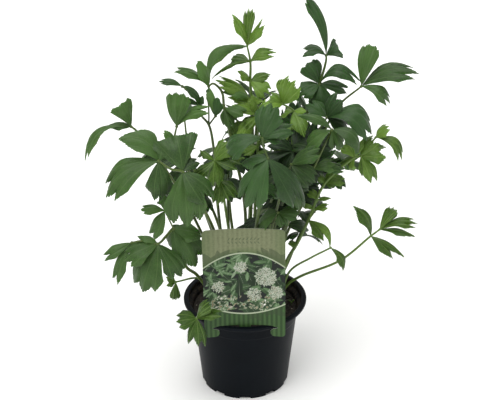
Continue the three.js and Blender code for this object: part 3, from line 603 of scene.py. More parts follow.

# Each frond: its name; its foot (x, y); its stalk's thickness there; how much fresher and lighter
# its green is than that of others of its kind, a shift that is partly its own tone and partly
# painted light and shade (those inside and at the back are darkened as painted shade); how many
# shaded leaflets sit along its stalk, and between which shares of its way, their tone lowered as
# painted shade; and its shoots, the stalk first. A shoot is the points (x, y, z) of its route in a
# row, and its leaflets: how many points before the route's end it grows, the way (x, y, z) to its
# tip, its width, negative to mirror it, and where needed: its far edge if that isn't TRIPLE, its
# extra freshness, partly painted light and shade, how far its middle curves sideways and rises, as
# shares of its length, and its turn about its own line in degrees.
FRONDS = [
    ("crown_centre", 2, 10, 3.8, 0.15, 0, 0, 0, [
    ([4, 16, 140, 6, 22, 200, 7, 27, 250, 6, 29, 286, 5, 32, 305, 5, 32, 324, 2, 32, 340],
    [(0, -12, -6, 32, 10, BLADE), (0, 2, 4, 34, 11, CREST), (0, 14, -4, 26, 12, PAIR, 0, 0.08),
    (1, 23, -8, 13, 14, TRIPLE, 0, 0, 0.25), (1, -18, 8, 2, 17, CREST, -1.4),
    (1, -36, -12, -11, 4, SPEAR, -1.4, 0, 0.26), (2, 19, 6, 5, 11, BLADE), (3, -32, -12, 28, 17),
    (3, -21, 8, -14, 8, SPEAR), (2, -11, -6, 13, 12, BLADE), (2, 18, -10, -8, 18), (3, 12, -9, 7, 11, PAIR),
    (3, -22, -5, 7, 11, BLADE)]),
    ([7, 27, 250, -7, 18, 271], [(0, -12, -6, 18, 12), (0, -5, -8, -14, 12), (0, 12, -4, -10, 12)])]),
    ("inner_centre", 8, 4, 3.2, 0.5, 5, 0.5, 0.8, [
    ([9, 8, 140, 10, 14, 200, 12, 18, 245, 12, 20, 276], [(0, -6, -4, 18, 9, BLADE), (0, -23, -8, 15, 15),
    (0, -22, -12, -18, 15, BLADE), (0, 14, 8, 8, 12, PAIR), (0, -14, -16, -6, 13),
    (0, -10, 10, 19, 12, PAIR), (1, -17, -8, -2, 14)]),
    ([12, 18, 245, 16, 4, 266], [(0, 10, 6, 33, 19, FAN)])]),
    ("upper_centre", 12, -4, 3.2, 0.6, 0, 0, 0, [
    ([18, -8, 140, 28, -10, 200, 38, -10, 260, 44, -10, 283, 44, -10, 293, 34, -10, 300],
    [(0, 8, -6, 27, -26, FAN, 0.3, 0, 0.1, -8), (0, -18, -10, 3, 13, BLADE), (1, 11, -4, 2, 8, SPEAR),
    (1, 9, -24, -14, 15, BLADE, -1.1, 0, 0.1, 15), (0, -12, 0, 10, 18, FAN, -0.4), (2, -21, -8, -35, 14),
    (2, 6, -6, -28, 14), (1, -11, 6, -4, 14, PAIR)])]),
    ("left_upper", -2, 2, 3.0, 0.75, 0, 0, 0, [
    ([1, 4, 150, -1, 6, 197, -12, 8, 254, -19, 12, 286, -21, 15, 301, -29, 9, 312, -33, 5, 311],
    [(0, -29, -10, 22, 13, PAIR, 0, 0.05), (0, 34, 10, 36, 13, BLADE, -0.9, -0.31),
    (0, 4, -8, -21, 8, SPEAR, 1.0), (4, 8, -6, -22, 9, BLADE), (3, -1, -6, -14, 7, SPEAR),
    (3, 8, -8, -18, 11, PAIR), (3, 20, -6, -1, 13, PAIR), (2, 24, 7, -6, 12, BLADE),
    (0, -8, -7, 27, 13, BLADE)])]),
    ("left_inner", -10, -2, 2.8, 0.6, 0, 0, 0, [
    ([-20, -2, 140, -26, -3, 200, -29, -2, 254, -33, 0, 275, -40, -2, 286, -41, -4, 296],
    [(0, -13, -8, 22, 9, BLADE, 0, 0.1, 0.12), (0, -25, 4, 8, 7, SPEAR), (0, 3, -2, 10, 8, BLADE)]),
    ([-33, 0, 275, -27, 2, 283], [(0, 2, -5, 20, 12, BLADE)]),
    ([-41, -4, 296, -48, -9, 310, -56, -12, 318], [(0, -21, -2, 6, 8, TRIPLE, 0, 0, 0.2)]),
    ([-33, 0, 275, -33, 0, 292, -34, 2, 304], [(0, 1, 1, 6, 4, SPEAR)])]),
    ("left_middle", -14, 4, 2.8, 1.2, 0, 0, 0, [
    ([-22, 2, 130, -36, -2, 180, -54, -6, 235, -64, -10, 264, -62, -10, 278], [(0, 2, -4, 34, 23, CREST),
    (0, 30, -6, 20, 13, PAIR, 0, -0.12), (2, -18, -4, 39, 14, BLADE)])]),
    ("far_left", -18, -2, 2.8, 0, 0, 0, 0, [
    ([-28, -8, 130, -46, -18, 185, -70, -28, 240, -97, -34, 285, -101, -35, 289],
    [(0, -7, -3, 23, 22, WEDGE, 0.6), (0, -43, -12, -26, 13, TRIPLE, 0, 0, 0.31, 20),
    (0, -20, -5, 3, 9, BLADE)])]),
    ("front_left", -12, -10, 3.4, 0.15, 0, 0, 0, [
    ([-18, -24, 130, -28, -40, 185, -40, -58, 225, -54, -75, 264, -64, -74, 266, -75, -70, 272],
    [(0, -34, 6, 20, 25, BLADE, -0.2, 0.21), (0, -48, -10, -29, 30, TRIPLE, 0, 0.12),
    (0, 0, -8, -37, 24, FAN), (0, 5, 6, 12, 9, SPEAR), (2, -8, 14, 28, 43, WEDGE), (2, 3, -12, -49, 39),
    (2, 24, -10, -24, 27, PAIR), (2, 14, 10, 7, 12, PAIR, -0.9, -0.1)])]),
    ("low_left", -20, -8, 3.0, 0.35, 0, 0, 0, [
    ([-30, -14, 100, -46, -25, 131, -55, -36, 146, -65, -50, 194, -71, -55, 190, -79, -60, 184,
    -92, -58, 186, -103, -56, 183], [(0, -27, -6, -13, 12, PAIR), (0, -18, -10, -37, 13, PAIR),
    (2, -31, -8, -12, 24), (2, -16, -12, -44, 32), (2, 22, -8, -30, 22), (4, 20, 3, -43, 35),
    (2, -19, 6, 5, 8, SPEAR), (4, 26, 5, -10, 19, BLADE), (4, -5, 6, -23, 13)]),
    ([-65, -50, 194, -72, -56, 216], [(0, -21, -6, 5, 12), (0, -2, 4, 17, 9, BLADE),
    (0, -14, -8, -23, 15, PAIR, 0, -0.06), (0, 12, 4, -2, 8, BLADE)])]),
    ("low_left_sprig", -26, 2, 2.4, -0.7, 0, 0, 0, [
    ([-36, -6, 100, -45, -12, 119, -66, -22, 121], [(0, -1, -6, -17, 11, CREST, -0.5),
    (0, -9, -2, -3, 6, SPEAR), (0, -9, -2, 7, 8, BLADE)])]),
    ("over_rim_left", -24, -18, 2.4, -1, 0, 0, 0, [
    ([-33, -29, 90, -42, -40, 94, -45, -52, 101, -45, -60, 104], [(0, -19, -4, 2, 20, FAN),
    (0, 11, -8, 22, 14, CREST), (0, 24, -10, 13, 12, PAIR), (0, -9, -6, -25, 8, BLADE),
    (0, 5, -6, -29, 12, PAIR)])]),
    ("centre_left", -6, -8, 3.0, 0, 0, 0, 0, [
    ([-10, -16, 130, -16, -30, 190, -22, -44, 240, -27, -50, 263],
    [(0, 14, 2, 17, 22, FAN, 0.2, 0, 0.1, -12), (0, -13, 4, 9, 8, BLADE, -0.7, -0.1),
    (0, -20, -8, -10, 12, FAN, -0.6, -0.12), (0, 4, -10, -22, 18, TRIPLE, -0.1, 0, 0.1, -14),
    (1, 13, -12, -12, 13, TRIPLE, -0.3, 0, 0.1, 14), (0, 23, -8, -2, 13, PAIR, -0.7, 0, 0.1, 10),
    (0, -8, 4, -23, 15, FAN, -0.3, 0, 0.1, 10), (0, 28, 6, 6, 14, TRIPLE, 0, 0, 0.1, 16),
    (1, -3, -12, -20, 14, TRIPLE, 0, 0, 0.1, -16), (1, 17, 2, -16, 16, TRIPLE, -0.6, 0, 0.1, -15)])]),
    ("front_centre", 4, -12, 3.8, 0.2, 0, 0, 0, [
    ([6, -24, 130, 10, -44, 190, 16, -64, 245, 20, -75, 277], [(0, -21, -10, -43, 30, TRIPLE, 0.9),
    (0, 30, -8, -43, 27, PAIR, -0.3), (0, -24, 10, -9, 16, BLADE), (1, -12, 4, -12, 16),
    (1, 16, 6, -13, 16)]),
    ([20, -75, 277, 16, -72, 287, 15, -66, 292], [(0, 9, 8, 29, 26, FAN, 0, 0, 0.14),
    (0, 27, 4, 9, 17, PAIR, 0, 0, 0.16), (0, -31, -4, -10, 25, CREST, 0, 0, 0.2),
    (0, 17, 2, -3, 13, PAIR)])]),
    ("front_right", 14, -12, 3.0, 0, 4, 0.7, 0.9, [
    ([18, -20, 130, 26, -32, 190, 36, -45, 240, 41, -50, 259], [(0, 22, -6, -15, 22), (0, 24, -4, 18, 20),
    (1, 20, 5, -29, 20), (1, -12, 1, -15, 16, PAIR)]),
    ([26, -32, 190, 30, -52, 212], [(0, -21, 12, -21, 22, BLADE), (0, 6, -8, -11, 11, PAIR),
    (0, 19, -4, 1, 16)])]),
    ("upper_right", 10, 10, 3.2, 0, 6, 0.35, 0.6, [
    ([16, 10, 140, 30, 12, 200, 50, 14, 260, 68, 15, 309, 74, 22, 330, 74, 25, 333],
    [(0, -17, 14, 51, 13, CREST, 0, 0.05), (0, -22, -6, 6, 15, PAIR, 0, 0.1, 0.2),
    (0, 10, -2, 10, 23, WEDGE), (2, -9, 2, 21, 24, CREST), (2, 37, -8, 4, 17, PAIR, 0, -0.03, 0.5),
    (2, 8, 8, -8, 10, SPEAR), (2, 28, 4, -7, 15, PAIR), (2, 2, -10, -21, 22), (2, -20, -8, -6, 20, FAN),
    (3, -7, -2, 33, 20), (3, -10, -6, 21, 18, PAIR)])]),
    ("far_right", 18, 4, 2.8, -0.4, 4, 0.35, 0.6, [
    ([28, 6, 130, 46, 8, 190, 68, 9, 250, 86, 10, 290, 106, 10, 309], [(0, 7, 6, 38, 19, CREST, 0.4),
    (0, 50, -10, 18, 27, TRIPLE, 0.4, -0.12), (0, 27, -8, -14, 15, TRIPLE, 0.2, 0.03, 0.36)])]),
    ("right_inner", 16, -2, 3.0, 0, 9, 0.5, 0.9, [
    ([22, -3, 140, 36, -5, 200, 56, -8, 252, 74, -10, 287], [(0, 42, -6, -14, 31, TRIPLE, 0, -0.08, 0.36),
    (0, -16, 6, 14, 18, PAIR), (0, 10, -2, 22, 18, PAIR), (1, 25, 6, 1, 20), (1, 15, 4, -23, 18),
    (1, -14, 6, 9, 18, PAIR), (1, -9, 2, -22, 16, PAIR), (1, -17, 2, 39, 20), (0, 24, 10, -15, 20, PAIR),
    (1, 9, 4, 29, 18), (0, 18, 8, -17, 18, PAIR)])]),
    ("right_front", 20, -8, 2.8, 0, 5, 0.65, 0.9, [
    ([26, -14, 130, 42, -22, 190, 62, -30, 245, 77, -35, 286], [(0, -22, 0, -14, 21, CREST, 0.5),
    (0, 25, -6, -20, 18, BLADE, 0.2, -0.1, 0.3), (0, -30, 2, 14, 10, SPEAR, 0, 0, 0.22), (1, 20, 2, 4, 16),
    (1, -19, -2, -12, 15, PAIR), (1, 30, 6, -2, 14), (0, 5, 3, -21, 13, PAIR), (0, 12, 5, -20, 16)])]),
    ("right_lean", 30, 4, 3.0, 0.1, 0, 0, 0, [
    ([41, 0, 133, 50, 0, 151, 60, -5, 179, 74, -10, 220, 100, -15, 249, 106, -15, 251, 119, -10, 267],
    [(0, 25, -6, -20, 14, TRIPLE, -0.6, -0.12, 0.27), (1, 13, 3, 16, 20, PAIR, 0.2),
    (1, 23, -2, 6, 22, PAIR, 0.2), (1, 14, -6, -25, 14, PAIR, -0.4), (2, -4, 6, -16, 11, BLADE),
    (3, 12, 8, 10, 11, BLADE), (4, 15, -8, -18, 11, BLADE), (4, 21, -10, -25, 7, SPEAR, 0, 0, 0.45),
    (3, 19, 2, 5, 13, TRIPLE, -0.4), (3, -8, 4, 9, 11, PAIR), (3, 10, -2, -2, 6, SPEAR),
    (2, -11, 7, 12, 13, FAN), (2, -14, 15, -16, 12), (5, -9, -4, 2, 8, BLADE), (0, 11, -4, 13, 15, FAN),
    (1, 2, -2, -21, 7, BLADE), (2, 5, 3, 20, 11, PAIR)]),
    ([67, -7, 199, 68, -8, 202], [(0, 12, -2, 3, 6, SPEAR), (0, -8, 4, 8, 10)]),
    ([63, -6, 188, 65, -7, 191], [(0, 13, -5, 7, 8, PAIR), (0, -10, 3, 5, 9)])]),
    ("right_sprig", 26, -10, 2.2, -0.8, 0, 0, 0, [
    ([34, -14, 100, 43, -18, 131, 62, -26, 150, 80, -30, 163],
    [(0, 13, -4, -23, 9, BLADE, 0, -0.08, 0.2)])]),
    ("low_right", 32, -4, 2.6, -0.9, 0, 0, 0, [
    ([41, -1, 105, 53, -5, 117, 91, -15, 141, 118, -20, 170, 126, -20, 177], [(0, 13, 4, 21, 13, CREST),
    (0, 35, -8, 11, 13, TRIPLE, 0, -0.08), (0, 35, 4, -9, 7, SPEAR), (1, -16, 4, 30, 13, BLADE, 0, 0.08),
    (1, 22, -8, -20, 10, BLADE), (1, 33, -6, -19, 6, SPEAR)])]),
    ("inner_left", -8, 9, 3.0, -0.75, 3, 0.7, 0.95, [
    ([-15, 10, 150, -16, 12, 210, -14, 14, 246], [(0, -11, 4, -9, 12), (0, 14, 8, 22, 15, PAIR),
    (0, -4, 16, -18, 15, BLADE), (0, -17, 2, -14, 14, PAIR), (1, -15, -4, 1, 14), (1, 19, 2, -9, 15),
    (0, -8, -8, -27, 14), (0, 20, -14, -18, 18), (0, 10, -10, -17, 16)])]),
    ("inner_right", 24, -2, 2.8, -0.75, 12, 0.65, 0.95, [
    ([33, 14, 140, 46, 23, 190, 60, 27, 212], [(0, 27, -6, -8, 18), (0, -16, -6, -12, 15, BLADE),
    (0, 6, 6, 24, 18, PAIR), (0, 24, 8, 12, 16, PAIR), (1, 23, -3, -5, 18), (1, -7, -5, -17, 16, PAIR),
    (1, 9, 5, 33, 16), (1, -10, 7, 87, 18), (1, 37, 11, 54, 20), (0, 15, 7, 49, 20), (1, 5, 3, 99, 20)])]),
    ("inner_high", 6, -4, 2.8, -0.75, 10, 0.5, 0.9, [
    ([9, -9, 140, 20, -16, 190, 34, -25, 238, 44, -28, 262], [(0, -24, 2, 12, 18), (0, 11, 22, 21, 18),
    (0, -14, -8, -22, 16, PAIR), (0, 14, 6, 10, 14, BLADE), (1, -18, -1, -23, 14),
    (1, 16, -5, -14, 15, PAIR), (0, -43, -12, -11, 18)]),
    ([34, -25, 238, 54, -14, 240], [(0, 19, 0, 8, 18), (0, 13, -6, -13, 16), (0, 2, 6, 17, 16, PAIR)])]),
    ("back_left", -14, 14, 3.0, -0.75, 4, 0.55, 0.85, [
    ([-34, 38, 150, -58, 66, 200, -80, 80, 212], [(0, -19, 8, -14, 20), (0, -26, 20, -21, 22),
    (0, -3, 34, -28, 22, PAIR), (1, -5, 4, 21, 14), (1, 13, 22, -23, 20, PAIR)])]),
    ("back_left_high", -8, 18, 3.0, -0.75, 4, 0.6, 0.85, [
    ([-27, 38, 154, -53, 60, 211, -59, 68, 255], [(0, -16, 4, 20, 16, PAIR), (0, -14, 20, -2, 16),
    (0, 0, 26, 5, 17), (1, -35, 32, -19, 18), (1, -31, 16, -47, 16, BLADE)])]),
    ("back_centre_left", -2, 22, 3.0, -0.75, 4, 0.65, 0.9, [
    ([-14, 48, 154, -18, 84, 196, -24, 100, 212], [(0, 17, 16, 14, 14), (0, 0, 24, -46, 22),
    (0, 24, 20, -4, 24, PAIR), (1, -28, 4, -8, 20), (1, 22, -2, 18, 20, PAIR)])]),
    ("back_centre", 4, 18, 3.4, -0.75, 5, 0.5, 0.9, [
    ([6, 34, 170, 10, 50, 236, 12, 58, 268], [(0, -20, 14, 24, 24), (0, 2, 34, 6, 26, FAN),
    (0, 18, 14, 13, 20, PAIR), (1, -28, 12, 6, 22, PAIR), (1, 28, 14, 0, 22)])]),
    ("back_centre_right", 10, 20, 3.0, -0.75, 5, 0.5, 0.9, [
    ([20, 50, 150, 34, 86, 192, 40, 102, 206], [(0, 26, 20, 8, 24), (0, 6, 28, -24, 28),
    (0, -22, 24, 0, 22, PAIR), (1, 30, 4, -6, 22, PAIR), (1, -18, 2, 20, 20)])]),
    ("back_right_high", 16, 14, 3.0, -0.75, 8, 0.5, 0.85, [
    ([30, 32, 170, 48, 50, 230, 60, 56, 256], [(0, -12, 12, 28, 22), (0, 26, 20, 8, 24),
    (0, 2, 32, -10, 22, PAIR), (1, 28, 4, -14, 20), (1, -20, 20, -4, 18, BLADE)])]),
    ("back_right", 22, 12, 2.8, -0.75, 4, 0.68, 0.85, [
    ([44, 34, 150, 76, 60, 190, 96, 70, 204], [(0, 34, 10, 12, 24), (0, 24, 26, -20, 26),
    (0, -4, 32, -2, 22, PAIR), (1, 14, -4, 28, 22, PAIR), (1, -14, 28, -8, 20), (1, 37, 6, 27, 18)])]),
    ("back_low_left", -20, 12, 2.6, -0.75, 3, 0.5, 0.8, [
    ([-34, 30, 108, -58, 54, 136, -65, 66, 150], [(0, -23, 14, 6, 20), (0, -10, 26, -5, 20),
    (0, 19, 26, -10, 18, PAIR), (1, -15, -4, 9, 16, BLADE)])]),
    ("back_low_right", 27, 15, 2.6, -0.75, 3, 0.68, 0.85, [
    ([42, 34, 108, 58, 58, 136, 70, 72, 147], [(0, 8, 16, 5, 16), (0, -13, 22, -16, 18),
    (0, -2, 24, 6, 18, PAIR), (1, -13, -8, -12, 12, BLADE)])]),
    ("back_low_centre", 3, 29, 2.6, -0.75, 0, 0, 0, [
    ([3, 50, 106, 7, 78, 128, 22, 98, 140], [(0, 21, 18, -3, 22), (0, -4, 26, -33, 22),
    (0, 11, 14, 9, 18, PAIR), (1, 29, 2, 12, 18, BLADE)])]),
]


def smooth_route(route, steps):
    """Points on a smooth curve through a route: between two points it is the cubic with tangents
    ((b-a)/d0 - (c-a)/(d0+d1) + (c-b)/d1) * d1, where each d is the root of a distance. Also
    gives each point's place along it, from 0 to 1."""
    padded = np.concatenate([[2 * route[0] - route[1]], route, [2 * route[-1] - route[-2]]])
    gap = np.sqrt(np.linalg.norm(np.diff(padded, axis=0), axis=1))[:, None]
    a, b, c, d = padded[:-3], padded[1:-2], padded[2:-1], padded[3:]
    g0, g1, g2 = gap[:-2], gap[1:-1], gap[2:]
    leave = ((b - a) / g0 - (c - a) / (g0 + g1) + (c - b) / g1) * g1
    arrive = ((c - b) / g1 - (d - b) / (g1 + g2) + (d - c) / g2) * g1
    share = np.linspace(0, 1, steps, endpoint=False)[None, :, None]
    b, c, leave, arrive = (part[:, None] for part in (b, c, leave, arrive))
    line = (b + leave * share + (3 * (c - b) - 2 * leave - arrive) * share ** 2
            + (2 * (b - c) + leave + arrive) * share ** 3)
    line = np.concatenate([line.reshape(-1, 3), route[-1:]])
    return line, np.linspace(0, 1, len(line))


def tube(rings):
    """Closed tube through rings of points (rings, sides, 3). A middle point closes each end, with
    a four-cornered face for every two sides."""
    count, sides = rings.shape[:2]
    numbers = np.arange(count * sides).reshape(count, sides)
    wrapped = np.concatenate([numbers, numbers[:, :1]], axis=1)
    ends = []
    for ring, middle in ((wrapped[0], numbers.size), (wrapped[-1, ::-1], numbers.size + 1)):
        ends.append(np.stack([ring[:-2:2], ring[1:-1:2], ring[2::2], np.full(sides // 2, middle)], -1))
    points = np.concatenate([rings.reshape(-1, 3), rings[:1].mean(axis=1), rings[-1:].mean(axis=1)])
    return points, np.concatenate([grid_faces(wrapped)[:, ::-1], *ends]), {}


def stalk(line, radius, groove):
    """A tube round a line: point = line + r * (cos a * side + sin a * up), with r = radius * (1 +
    groove * cos 5a), and side square to the line and to +Y."""
    heading = np.gradient(line, axis=0)
    heading /= np.linalg.norm(heading, axis=1, keepdims=True)
    side = np.cross(heading, [0, 1, 0])
    side /= np.linalg.norm(side, axis=1, keepdims=True)
    up = np.cross(side, heading)
    angle = full_circle(STALK_SIDES)[None, :, None]
    reach = radius[:, None, None] * (1 + groove * np.cos(5 * angle))
    return tube(line[:, None] + reach * (np.cos(angle) * side[:, None] + np.sin(angle) * up[:, None]))


def knuckle(centre, radius):
    """A little swelling of a stalk: a ball."""
    turn, tilt = np.meshgrid(full_circle(8), np.linspace(0.3, pi - 0.3, 6))
    ball = [np.sin(tilt) * np.cos(turn), np.sin(tilt) * np.sin(turn), -np.cos(tilt)]
    return tube(centre + radius * np.stack(ball, axis=-1))


def lobed_edge(pattern, cleft, sharpness, teeth, nick):
    """A leaflet's far edge as (across, reach) shares. Over the way u from a lobe's tip to a notch
    the reach falls by cleft * (u * sharpness + u^5 * (1 - sharpness)) of their difference, and
    to a shoulder by the mean of u^1.4 and 1 - sqrt(1 - u^2). Small teeth nick each side of a
    lobe: steep towards its tip, slanting away from it."""
    nicks = (np.arange(teeth) + 1) / (teeth + 1) - 0.04
    ways = np.unique(np.concatenate([[0, 0.14, 0.36, 0.6, 0.82, 0.95, 1],
                                     nicks - TOOTH_STEEP, nicks, nicks + TOOTH_SLANT]))
    slant = np.zeros(len(ways))
    for tooth in nicks:
        off = np.where(ways < tooth, (tooth - ways) / TOOTH_STEEP, (ways - tooth) / TOOTH_SLANT)
        slant += np.clip(1 - off, 0, 1)
    notch_fall = cleft * (sharpness * ways + (1 - sharpness) * ways ** 5)
    shoulder_fall = (ways ** 1.4 + 1 - np.sqrt(1 - ways ** 2)) / 2
    edge = []
    for number, (start, end) in enumerate(zip(pattern[:-1], pattern[1:])):
        tip, low = (start, end) if start[1] > end[1] else (end, start)
        fall = shoulder_fall if number in (0, len(pattern) - 2) else notch_fall
        piece = np.stack([tip[0] + (low[0] - tip[0]) * ways,
                          tip[1] + (low[1] - tip[1]) * fall - nick * slant], -1)
        edge.append(piece[:-1] if tip is start else piece[:0:-1])
    return np.concatenate([*edge, pattern[-1:]])


def leaflet(joint, facing, style, tone, draw,
            x, y, z, width, pattern=TRIPLE, fresh_and_lit=0, bow=0, arch=0.1, roll=0):
    """A leaflet as a closed blade. With s across (-1 to 1) and t outwards (0 to 1), out = t *
    reach(s) * length and side = half width * s * w(t), where w lies between t^0.8 and sin(t^0.9
    * 90 degrees), narrows to a stalk at the base and closes in by up to a third over the outer
    half. The squarer the shoulders, the nearer w is to t. Point = joint + along * out + across *
    (side + bow) + normal * lift. Lift is the arch, less the fold and the margins' droop, plus
    quilting between the ribs, waves at the margins and a drooping tip."""
    clefts, sharpness, teeth, nick, waviness = style
    length = np.linalg.norm([x, y, z])
    along = np.array([x, y, z]) / length
    upright = np.array([0, facing, SKYWARD])
    normal = upright - along * (upright @ along)
    normal /= np.linalg.norm(normal)
    turn = math.radians(roll) + draw.normal(0, 0.12)
    normal = normal * cos(turn) + np.cross(along, normal) * sin(turn)
    across = np.cross(along, normal)
    pattern = pattern * np.array([np.sign(width), 1])
    pattern = pattern[np.argsort(pattern[:, 0])]
    edge = lobed_edge(pattern, draw.uniform(*clefts), sharpness, teeth, nick)
    inner = pattern[1:-1]
    tips = inner[inner[:, 1] >= np.maximum(pattern[:-2, 1], pattern[2:, 1]), 0]
    s, t = edge[None, :, 0], BLADE_ROWS[:, None]
    half = BLADE_FULLNESS * abs(width) / 2
    roundness = 1 - np.clip((pattern[0, 1] - 0.66) / 0.2, 0, 1)
    belly, closing = roundness * draw.uniform(0, 0.55), roundness * draw.uniform(0.05, 0.35)
    widening = (1 - belly) * t ** (1 - 0.2 * roundness) + belly * np.sin(pi / 2 * t ** 0.9)
    widening = widening * (1 - 0.7 * np.exp(-t / 0.05))
    out = t * edge[None, :, 1] * length
    share = out / length
    inward = np.clip((share - 0.5) / 0.5, 0, 1)
    widening = widening * (1 - closing * inward ** 2 * (3 - 2 * inward))
    side = half * s * widening
    rib = np.min(np.abs(s[..., None] - tips), axis=-1) * half * widening
    bulge = 4 * length * share * (1 - share)
    phase = draw.uniform(0, TURN, 2)
    droop = draw.uniform(-0.05, 0.25)
    lift = (arch * bulge - BLADE_FOLD * np.abs(side) - droop * half * s ** 2 * t
            + 0.04 * half * (1 - np.exp(-(rib / 2.5) ** 2)) * np.sin(pi * t)
            + waviness * half * s ** 2 * t * np.sin(7 * t + phase[0] + 1.5 * np.sign(s))
            + waviness * 0.5 * half * t ** 2 * np.sin(9 * s + phase[1])
            - 0.06 * length * np.clip(t - 0.6, 0, 1) ** 2 / 0.16)
    middle = (joint + along * out[..., None] + across * (side + bow * bulge)[..., None]
              + normal * lift[..., None])
    inland = np.clip(np.minimum(1 - t, (1 - np.abs(s)) * 2) / 0.1, 0, 1)
    raised_rib = 0.35 * np.exp(-(rib / 0.5) ** 2) * (1 - t)
    points, faces = sheet(middle + normal * (0.05 + 0.1 * inland)[..., None],
                          middle - normal * (0.05 + inland * (0.1 + raised_rib))[..., None])
    # The tone mark is each leaflet's random tone plus its frond's and its own shift, which is partly
    # painted light and shade.
    return points, faces, {
        "rib": np.tile(rib.reshape(-1), 2), "out": np.tile(out.reshape(-1), 2),
        "under": np.repeat([0.0, 1.0], out.size),
        "tone": np.full(2 * out.size, draw.uniform(0, 1) + tone + fresh_and_lit)}


def leaf_material(name, deep_and_shaded, fresh_and_lit, under, vein, gloss):
    """Leaf skin. Its colour wanders between the deep green, dark enough to be painted shade, and the
    fresh green by 15 mm patches and each leaflet's tone, which is partly painted light and shade.
    Ribs, side veins 4 mm apart and a 2 mm net of veinlets are paler, the underside duller."""
    skin, node = new_material(name)
    place = node("TexCoord", output="Object")
    rib, out, below, tone = (node("Attribute", output="Fac", attribute_name=mark)
                             for mark in ("rib", "out", "under", "tone"))
    patches = node("TexNoise", [place, 65, 3])
    freshness_and_light = node("Math", [patches, tone], operation="ADD")
    spread = node("MapRange", [freshness_and_light, 0.35, 2.1])
    colour = node("Mix", [spread, deep_and_shaded, fresh_and_lit], data_type="RGBA")
    ribs = node("MapRange", [rib, 0.12, 0.4, 0.42, 0], interpolation_type="SMOOTHSTEP")
    slope = node("Math", [rib, -1.25, out], operation="MULTIPLY_ADD")
    comb = node("Math", [slope, 2.1], operation="PINGPONG")
    sides = node("MapRange", [comb, 0.05, 0.35, 0.18, 0], interpolation_type="SMOOTHSTEP")
    net = node("TexVoronoi", [place, 520], feature="DISTANCE_TO_EDGE")
    veinlets = node("MapRange", [net, 0, 0.12, 0.18, 0])
    veins = node("Math", [ribs, sides], operation="MAXIMUM")
    veins = node("Math", [veins, veinlets], operation="MAXIMUM")
    veined = node("Mix", [veins, colour, vein], data_type="RGBA")
    dulled = node("Math", [below, 0.8], operation="MULTIPLY")
    pores = node("TexNoise", [place, 900, 3])
    relief = node("Math", [veins, -2.2, pores], operation="MULTIPLY_ADD")
    feed(skin, {
        "Base Color": node("Mix", [dulled, veined, under], data_type="RGBA"),
        "Roughness": node("MapRange", [below, 0, 1, gloss, 0.7]),
        "Normal": node("Bump", {"Strength": 0.35, "Distance": 0.0002, "Height": relief}),
        "IOR": 1.42, "Specular IOR Level": 0.32, "Subsurface Weight": 0.1,
        "Subsurface Scale": 0.001, "Subsurface Radius": (0.5, 1, 0.25)})
    return skin


def stalk_material(name, shade, light):
    """Stalk skin: streaks of two greens, 1 mm wide and 16 mm long, along the stalk, satin."""
    skin, node = new_material(name)
    place = node("TexCoord", output="Object")
    long_way = node("Mapping", {"Vector": place, "Scale": (900, 900, 60)})
    streaks = node("TexNoise", [long_way, 1, 3])
    feed(skin, {
        "Base Color": node("Mix", [streaks, shade, light], data_type="RGBA"),
        "Normal": node("Bump", {"Strength": 0.3, "Distance": 0.0002, "Height": streaks}),
        "Roughness": 0.42, "IOR": 1.42})
    return skin


# Lovage skins: leaves are waxy and smooth above with pale sunk veins, duller and greyer below.
# Grown ones are a cool mid green and young ones bright. The deep skin is a darker, bluer copy of
# the grown one, partly their own darker green and partly painted shade for fronds that stand in
# shade; the deep end of each skin is dark enough to be painted shade inside the plant. A style is
# how deep the clefts between lobes go, how pointed the lobes are, how many teeth nick each side of
# a lobe and how deep, and how wavy the blade is.
SKINS = {
    "leaf": (leaf_material("lovage_leaf_grown", "#1c3212", "#4a6a30", "#3d5230", "#58723f", 0.42),
             stalk_material("lovage_stalk_grown", "#344419", "#5b6f30")),
    "leaf_dark": (leaf_material("lovage_leaf_deep_shaded", "#13250f", "#375729", "#334728", "#465f36", 0.42),
                  stalk_material("lovage_stalk_deep_shaded", "#2e3e19", "#50642d")),
    "leaf_young": (leaf_material("lovage_leaf_young", "#2f4a12", "#739439", "#526b32", "#7c9850", 0.38),
                   stalk_material("lovage_stalk_young", "#425b24", "#688339"))}
STYLES = {"leaf": ((0.5, 1.1), 0.5, 2, 0.03, 0.11), "leaf_dark": ((0.5, 1.1), 0.45, 2, 0.03, 0.11),
          "leaf_young": ((0.9, 1.3), 0.7, 2, 0.09, 0.14), "shaded": ((0.5, 1.1), 0.5, 0, 0, 0.11)}
finish_of = {part["node"]: part["material_slot"] for part in frame["record"]["subparts"]}


def grow(name, blades, stalks, finish):
    """Joins leaflets and stalks into one piece, in their two skins."""
    points, faces, marks = gather(blades + stalks)
    slots = np.repeat([0, 1], [sum(len(part[1]) for part in parts) for parts in (blades, stalks)])
    return add_mesh(name, points, faces.tolist(), SKINS[finish], marks, slots)


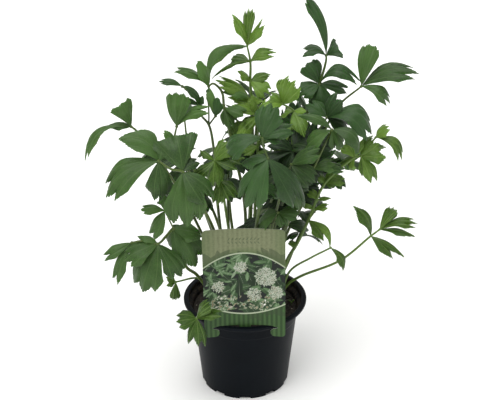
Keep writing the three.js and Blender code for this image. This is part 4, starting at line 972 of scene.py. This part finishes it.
for order, (name, *foot, thickness, freshness_and_light, count, low, high, shoots) in enumerate(FRONDS):
    draw = np.random.default_rng(order)
    finish = finish_of[f"frond_{name}"]
    facing = TO_BACK if name.startswith("back") else TO_FRONT
    grip = KNUCKLE_RADIUS * (YOUNG_KNUCKLE if finish == "leaf_young" else 1)
    blades, stalks = [], []
    for place, (route, leaves) in enumerate(shoots):
        route, thick = np.array(route, dtype=float).reshape(-1, 3), TWIG_RADIUS
        if place == 0:
            below = [[*foot, SOIL_LEVEL - STALK_ROOT_DEPTH], [*foot, SOIL_LEVEL + STALK_COLLAR]]
            route, thick = np.concatenate([below, route]), STALK_FULLNESS * thickness / 2
        line, share = smooth_route(route, STALK_STEPS)
        radius = thick + (min(STALK_TIP_RADIUS, thick) - thick) * share ** 1.6
        radius += 0.35 * thick * np.exp(-((line[:, 2] - SOIL_LEVEL) / 7) ** 2) * (place == 0)
        stalks.append(stalk(line, radius, STALK_GROOVE))
        stalks += [knuckle(route[-1 - back], grip) for back in sorted({form[0] for form in leaves})]
        blades += [leaflet(route[-1 - back], facing, STYLES[finish], freshness_and_light, draw, *form)
                   for back, *form in leaves]
        # Shaded leaflets inside the plant take a lowered tone: painted shade.
        for _ in range(count if place == 0 else 0):
            joint = line[int(len(line) * draw.uniform(low, high))]
            heading, length = draw.uniform(0, TURN), draw.uniform(20, 30)
            way = [length * cos(heading), length * sin(heading),
                   length * draw.uniform(-0.5, 0.35)]
            blades.append(leaflet(joint, facing, STYLES["shaded"], SHADED_TONE, draw, *way,
                                  length * draw.uniform(0.55, 0.75), arch=SHADED_ARCH))
    piece = grow(f"lovage_{name}", blades, stalks, finish)
    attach(piece, "root")
    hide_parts(f"frond_{name}")


# Seedling
# A second lovage seed that has just come up at the right of the soil: a thread of a stem with
# three narrow first leaves.
SEEDLING_STEM = np.array([(45, 1, 80), (45.4, 0.5, 83), (45.6, 0, 85)])
SEEDLING_LEAVES = [(-3.2, -1.5, 3.4, 2.2), (2.8, -1, 3.6, 2), (0.4, -3.4, 1.6, 1.8)]
SEEDLING_STEM_RADIUS = 0.5
SEEDLING_TONE = -0.6

draw = np.random.default_rng(3)
line, _ = smooth_route(SEEDLING_STEM, 4)
leaves = [leaflet(line[-1], TO_FRONT, STYLES["shaded"], SEEDLING_TONE, draw, *form, SPEAR)
          for form in SEEDLING_LEAVES]
stem = stalk(line, np.full(len(line), SEEDLING_STEM_RADIUS), 0)
seedling = grow("seedling", leaves, [stem], "leaf_young")
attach(seedling, "root")
